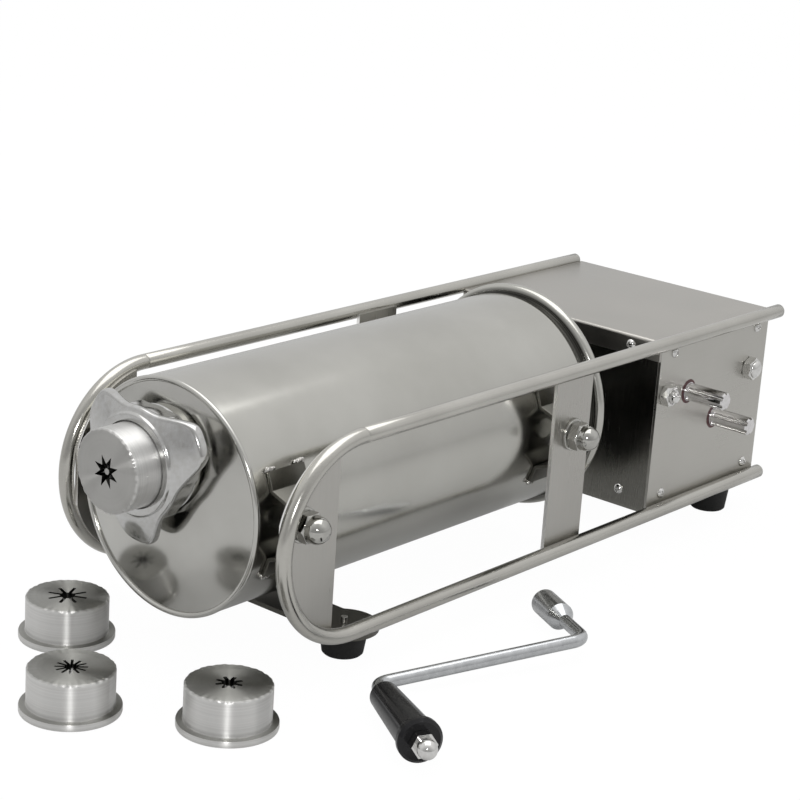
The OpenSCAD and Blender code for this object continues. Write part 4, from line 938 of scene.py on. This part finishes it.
def cap_nut_surface(centre, axis, corner_r, hex_h, neck_h, dome_r):
    """Chamfered hexagon, short round neck and ball."""
    rows = hex_rows(hex_h, corner_r)
    rows += [(hex_h + 0.2 * MM, dome_r + 0.2 * MM), (hex_h + 0.6 * MM, dome_r)]
    rows += [(hex_h + neck_h + dome_r * sin(a), max(dome_r * cos(a), 0.02 * MM))
             for a in np.linspace(0, pi / 2, 12)]
    return rows_skin(rows, centre, axis)


def cap_nuts():
    """The four nuts that hold the barrel's studs, with their washers."""
    low, high, middle = size_of("cap_nuts")
    washer_low, _, _ = size_of("strap_washers")
    corner, across = 9.6 * MM, 8.31 * MM
    bore, rim, back = 5.2 * MM, 10.6 * MM, -2 * MM
    outline = rounded([(back, bore), (back, rim), (0, rim), (0, bore)], [0, 0.3 * MM, 0.6 * MM, 0], 3)
    nuts, washers = [], []
    for x in (low[0] + across, high[0] - across):
        spot = (x, washer_low[1], middle[2])
        nut = cap_nut_surface(spot, (0, -1, 0), corner, 7 * MM, 2.5 * MM, 8.06 * MM)
        washer = turned(outline, spot, (0, -1, 0), 48, loop=True)
        nuts += [nut, mirrored(nut)]
        washers += [washer, mirrored(washer)]
    piece("domed_cap_nuts", nuts, "frame", CAP_NUT, "cap_nuts")
    piece("stud_washers", washers, "frame", CAP_NUT, "strap_washers")


cap_nuts()


def pan_head(spot, axis, up, shank):
    """Pan-head screw: a low dome h(r) = 2.3 mm - 1.8 mm * (r / 3.6 mm)^2.6 with a cross sunk in it,
    a straight rim and a plain shank behind."""
    start, head_r, rim_h, dome_h = 0.4, 3.6 * MM, 0.5 * MM, 1.8 * MM
    t = circle_turns(72, start)
    reach = np.concatenate([np.linspace(0.15, 2.5, 20), [2.8, 3.1, 3.35, 3.5, 3.6]]) * MM
    u, v = reach[:, None] * np.cos(t), reach[:, None] * np.sin(t)
    arm = np.clip((0.62 * MM - np.minimum(np.abs(u), np.abs(v))) / (0.18 * MM), 0, 1)
    sunk = 1.1 * MM * arm * np.clip((2.15 * MM - reach) / (0.35 * MM), 0, 1)[:, None]
    dome = rim_h + dome_h * (1 - (reach / head_r) ** 2.6)
    rows = [(h - cross, r) for h, cross, r in zip(dome, sunk, reach)]
    rows += [(0, head_r), (-0.2 * MM, 3.4 * MM), (-0.2 * MM, 1.5 * MM), (-shank, 1.5 * MM)]
    return rows_skin(rows, spot, axis, up=up, start=start)


def case_screws():
    """Four screws in each side panel, two in the front and rear plates and two in each hem."""
    shank = 6 * MM
    low_z, top_z = CASE_LOW[2] + 13 * MM, CASE_HIGH[2] - 8 * MM
    front_x, rear_x = CASE_LOW[0] + 16 * MM, CASE_HIGH[0] - 14 * MM
    side = [pan_head((x, MID_Y - SIDE_Y, z), (0, -1, 0), (cos(a), 0, sin(a)), shank)
            for x, z, a in ((front_x, low_z, 0.3), (front_x, top_z, 1.1),
                            (rear_x, low_z, 0.7), (rear_x, top_z, 0.1))]
    for name, made in (("near", side), ("far", [mirrored(v) for v in side])):
        piece(f"{name}_panel_pan_screws", made, "frame", FASTENER, f"{name}_panel_screws")
    out = SIDE_Y - 24 * MM
    hem_z = CASE_HIGH[2] - 5 * MM
    ends = []
    for y in (-out, out):
        for x, z, way in ((CASE_LOW[0], low_z, -1), (COVER_LOW[0], hem_z, -1),
                          (CASE_HIGH[0], low_z, 1), (COVER_HIGH[0], hem_z, 1)):
            spot, up = (x, MID_Y + y, z), (0, cos(z * 90), sin(z * 90))
            ends.append(pan_head(spot, (way, 0, 0), up, shank))
    piece("end_plate_pan_screws", ends, "frame", FASTENER, "end_plate_screws")


def tie_bolts():
    """Two bolts right across the gearbox: hexagon with cut corners, shank, chamfered end; the
    rear one's head is domed towards the crank side.  A nut sits on the other end of each."""
    spot_z, shank_r, past, dome_h = 105 * MM, 4 * MM, 10 * MM, 2.9 * MM
    bolts = (("front_cross_bolt", "front_tie_bolt", 377.6, 1, 7.5 * MM, 5.5 * MM, 0),
             ("rear_cross_bolt", "rear_tie_bolt", 482, -1, 8.2 * MM, 6.4 * MM, 6.2 * MM))
    nuts = []
    for name, node, x, way, corner, height, dome_r in bolts:
        rows = hex_rows(height, corner)
        if dome_r:
            rows += [(height + dome_h * sin(v), max(dome_r * cos(v) ** 0.8, 0.02 * MM))
                     for v in np.linspace(0, pi / 2, 8)]
        length = 2 * SIDE_Y + past
        shank = [(-0.02 * MM, shank_r), (-length + 0.8 * MM, shank_r), (-length, 3.2 * MM)]
        head = (along_x(x), MID_Y + way * SIDE_Y, spot_z)
        piece(name, [rows_skin(rows[::-1] + shank, head, (0, way, 0), start=radians(24))], "frame",
              FASTENER, node)
        thread = [(6.3 * MM, 4.6 * MM), (5.9 * MM, 4.05 * MM), (0.2 * MM, 4.05 * MM)]
        end = (along_x(x), MID_Y - way * SIDE_Y, spot_z)
        nuts.append(rows_skin(hex_rows(6.5 * MM, 7.5 * MM) + thread, end, (0, -way, 0), loop=True))
    piece("cross_bolt_nuts", nuts, "frame", FASTENER, "tie_nuts")


def cover_sheet():
    """Lid bent down at its front edge; the rear hem is narrower than the lid, with free corners."""
    half, bend_r, free_corner = 1 * MM, 1.3 * MM, 11 * MM
    low, top = COVER_LOW[2], COVER_HIGH[2] - half
    front, rear = COVER_LOW[0] + half, COVER_HIGH[0] - half
    width = COVER_HIGH[1] - COVER_LOW[1]
    lid = rounded([(front, low), (front, top), (rear + half, top)], [0, bend_r, 0], 6)
    hem = np.array([(rear, top - half + 0.1 * MM), (rear, (top + low) / 2), (rear, low)])
    sheets = []
    for bent, wide in ((lid, width), (hem, width - 2 * free_corner)):
        path = np.stack([bent[:, 0], np.full(len(bent), MID_Y), bent[:, 1]], 1)
        sheets.append(ribbon(path, (0, 1, 0), wide, 2 * half, 0.45 * MM))
    piece("cover_bent_sheet", sheets, "frame", COVER, "top_cover")


case_screws()
tie_bolts()
cover_sheet()


# ---------------------------------------------------------------- studio

CAMERA_SPOT = (-1.017531, -0.790502, 0.529109)
CAMERA_HEADING, CAMERA_PITCH, CAMERA_ROLL = radians(50.511), radians(-17.374), radians(3.869)
CAMERA_LENS = 98.187
AIM = (0, 0, 0.1)


def camera():
    """The photograph's viewpoint, from the fit of the rods, the gearbox, the barrel and the feet."""
    heading, pitch, roll = CAMERA_HEADING, CAMERA_PITCH, CAMERA_ROLL
    forward = Vector((sin(heading) * cos(pitch), cos(heading) * cos(pitch), sin(pitch)))
    level = Vector((cos(heading), -sin(heading), 0))
    over = level.cross(forward)
    right = cos(roll) * level + sin(roll) * over
    up = -sin(roll) * level + cos(roll) * over
    data = bpy.data.cameras.new("photo_camera")
    data.sensor_width = 36
    data.lens = CAMERA_LENS
    data.clip_start, data.clip_end = 0.05, 50
    eye = bpy.data.objects.new("photo_camera", data)
    turn = Matrix((right, up, -forward)).transposed()
    eye.matrix_world = Matrix.Translation(CAMERA_SPOT) @ turn.to_4x4()
    bpy.context.scene.collection.objects.link(eye)
    bpy.context.scene.camera = eye


def square_lamp(name, spot, size, power):
    """A square lamp that looks at the middle of the machine."""
    data = bpy.data.lights.new(name, "AREA")
    data.shape = "SQUARE"
    data.size = size
    data.energy = power
    lamp = bpy.data.objects.new(name, data)
    lamp.location = spot
    lamp.rotation_mode = "QUATERNION"
    lamp.rotation_quaternion = (Vector(AIM) - Vector(spot)).to_track_quat("-Z", "Y")
    bpy.context.scene.collection.objects.link(lamp)


def background_share(tree, camera_share, mirror_share):
    """How much of the white background a ray sees: the camera most, metal and clear things some."""
    def math(operation, first, second):
        return new_node(tree, "ShaderNodeMath", {0: first, 1: second}, operation).outputs[0]
    path = tree.nodes.new("ShaderNodeLightPath").outputs
    mirror = math("MAXIMUM", path["Is Glossy Ray"], path["Is Transmission Ray"])
    seen = math("MULTIPLY", path["Is Camera Ray"], camera_share)
    return math("MAXIMUM", seen, math("MULTIPLY", mirror, mirror_share))


def studio_floor():
    """Pale floor that fades to the white background and keeps the machine's shadow."""
    mesh = bpy.data.meshes.new("studio_floor")
    half, below = 6.0, -0.15 * MM
    corners = [(-half, -half, below), (half, -half, below), (half, half, below), (-half, half, below)]
    mesh.from_pydata(corners, [], [(0, 1, 2, 3)])
    floor = bpy.data.objects.new("studio_floor", mesh)
    bpy.context.scene.collection.objects.link(floor)
    paint = bpy.data.materials.new("floor_white")
    paint.use_nodes = True
    tree = paint.node_tree
    tree.nodes.clear()
    matt = new_node(tree, "ShaderNodeBsdfDiffuse", {"Color": (0.62, 0.62, 0.62, 1)})
    glow = new_node(tree, "ShaderNodeEmission", {"Strength": 1.02})
    share = background_share(tree, 0.96, 0.15)
    both = new_node(tree, "ShaderNodeMixShader", {"Fac": share, 1: matt.outputs[0], 2: glow.outputs[0]})
    new_node(tree, "ShaderNodeOutputMaterial", {"Surface": both.outputs[0]})
    mesh.materials.append(paint)


def studio_world():
    """A world that is light above and behind the machine and greyer on the camera's side."""
    world = bpy.data.worlds.new("studio_world")
    bpy.context.scene.world = world
    world.use_nodes = True
    tree = world.node_tree
    tree.nodes.clear()
    way = tree.nodes.new("ShaderNodeTexCoord").outputs["Generated"]
    height = new_node(tree, "ShaderNodeSeparateXYZ", {0: way}).outputs["Z"]
    ramp = new_node(tree, "ShaderNodeValToRGB", {"Fac": height})
    low, high = ramp.color_ramp.elements
    low.position, low.color = 0.0, (0.62, 0.62, 0.62, 1)
    high.position, high.color = 0.8, (1, 1, 1, 1)
    to_camera = {0: way, 1: (-0.77, -0.63, 0)}
    toward = new_node(tree, "ShaderNodeVectorMath", to_camera, "DOT_PRODUCT").outputs["Value"]
    dim = new_node(tree, "ShaderNodeMapRange", {"Value": toward, "From Min": 0.1, "From Max": 0.95,
                                                "To Min": 0, "To Max": 0.75})
    dim.interpolation_type = "SMOOTHSTEP"
    room = mixed(tree, dim.outputs["Result"], ramp.outputs["Color"], (0.22, 0.22, 0.22, 1))
    colour = mixed(tree, background_share(tree, 1, 0.2), room, (1, 1, 1, 1))
    back = new_node(tree, "ShaderNodeBackground", {"Color": colour})
    new_node(tree, "ShaderNodeOutputWorld", {"Surface": back.outputs[0]})


def studio():
    """Floor, world, a large soft lamp above and a small one by the camera."""
    studio_floor()
    studio_world()
    square_lamp("soft_top", (0.1, 0.1, 1.7), 1.6, 12)
    square_lamp("by_the_camera", (-1.05, -0.8, 0.62), 0.12, 3.6)


camera()
studio()
bpy.context.scene.view_settings.view_transform = "Standard"
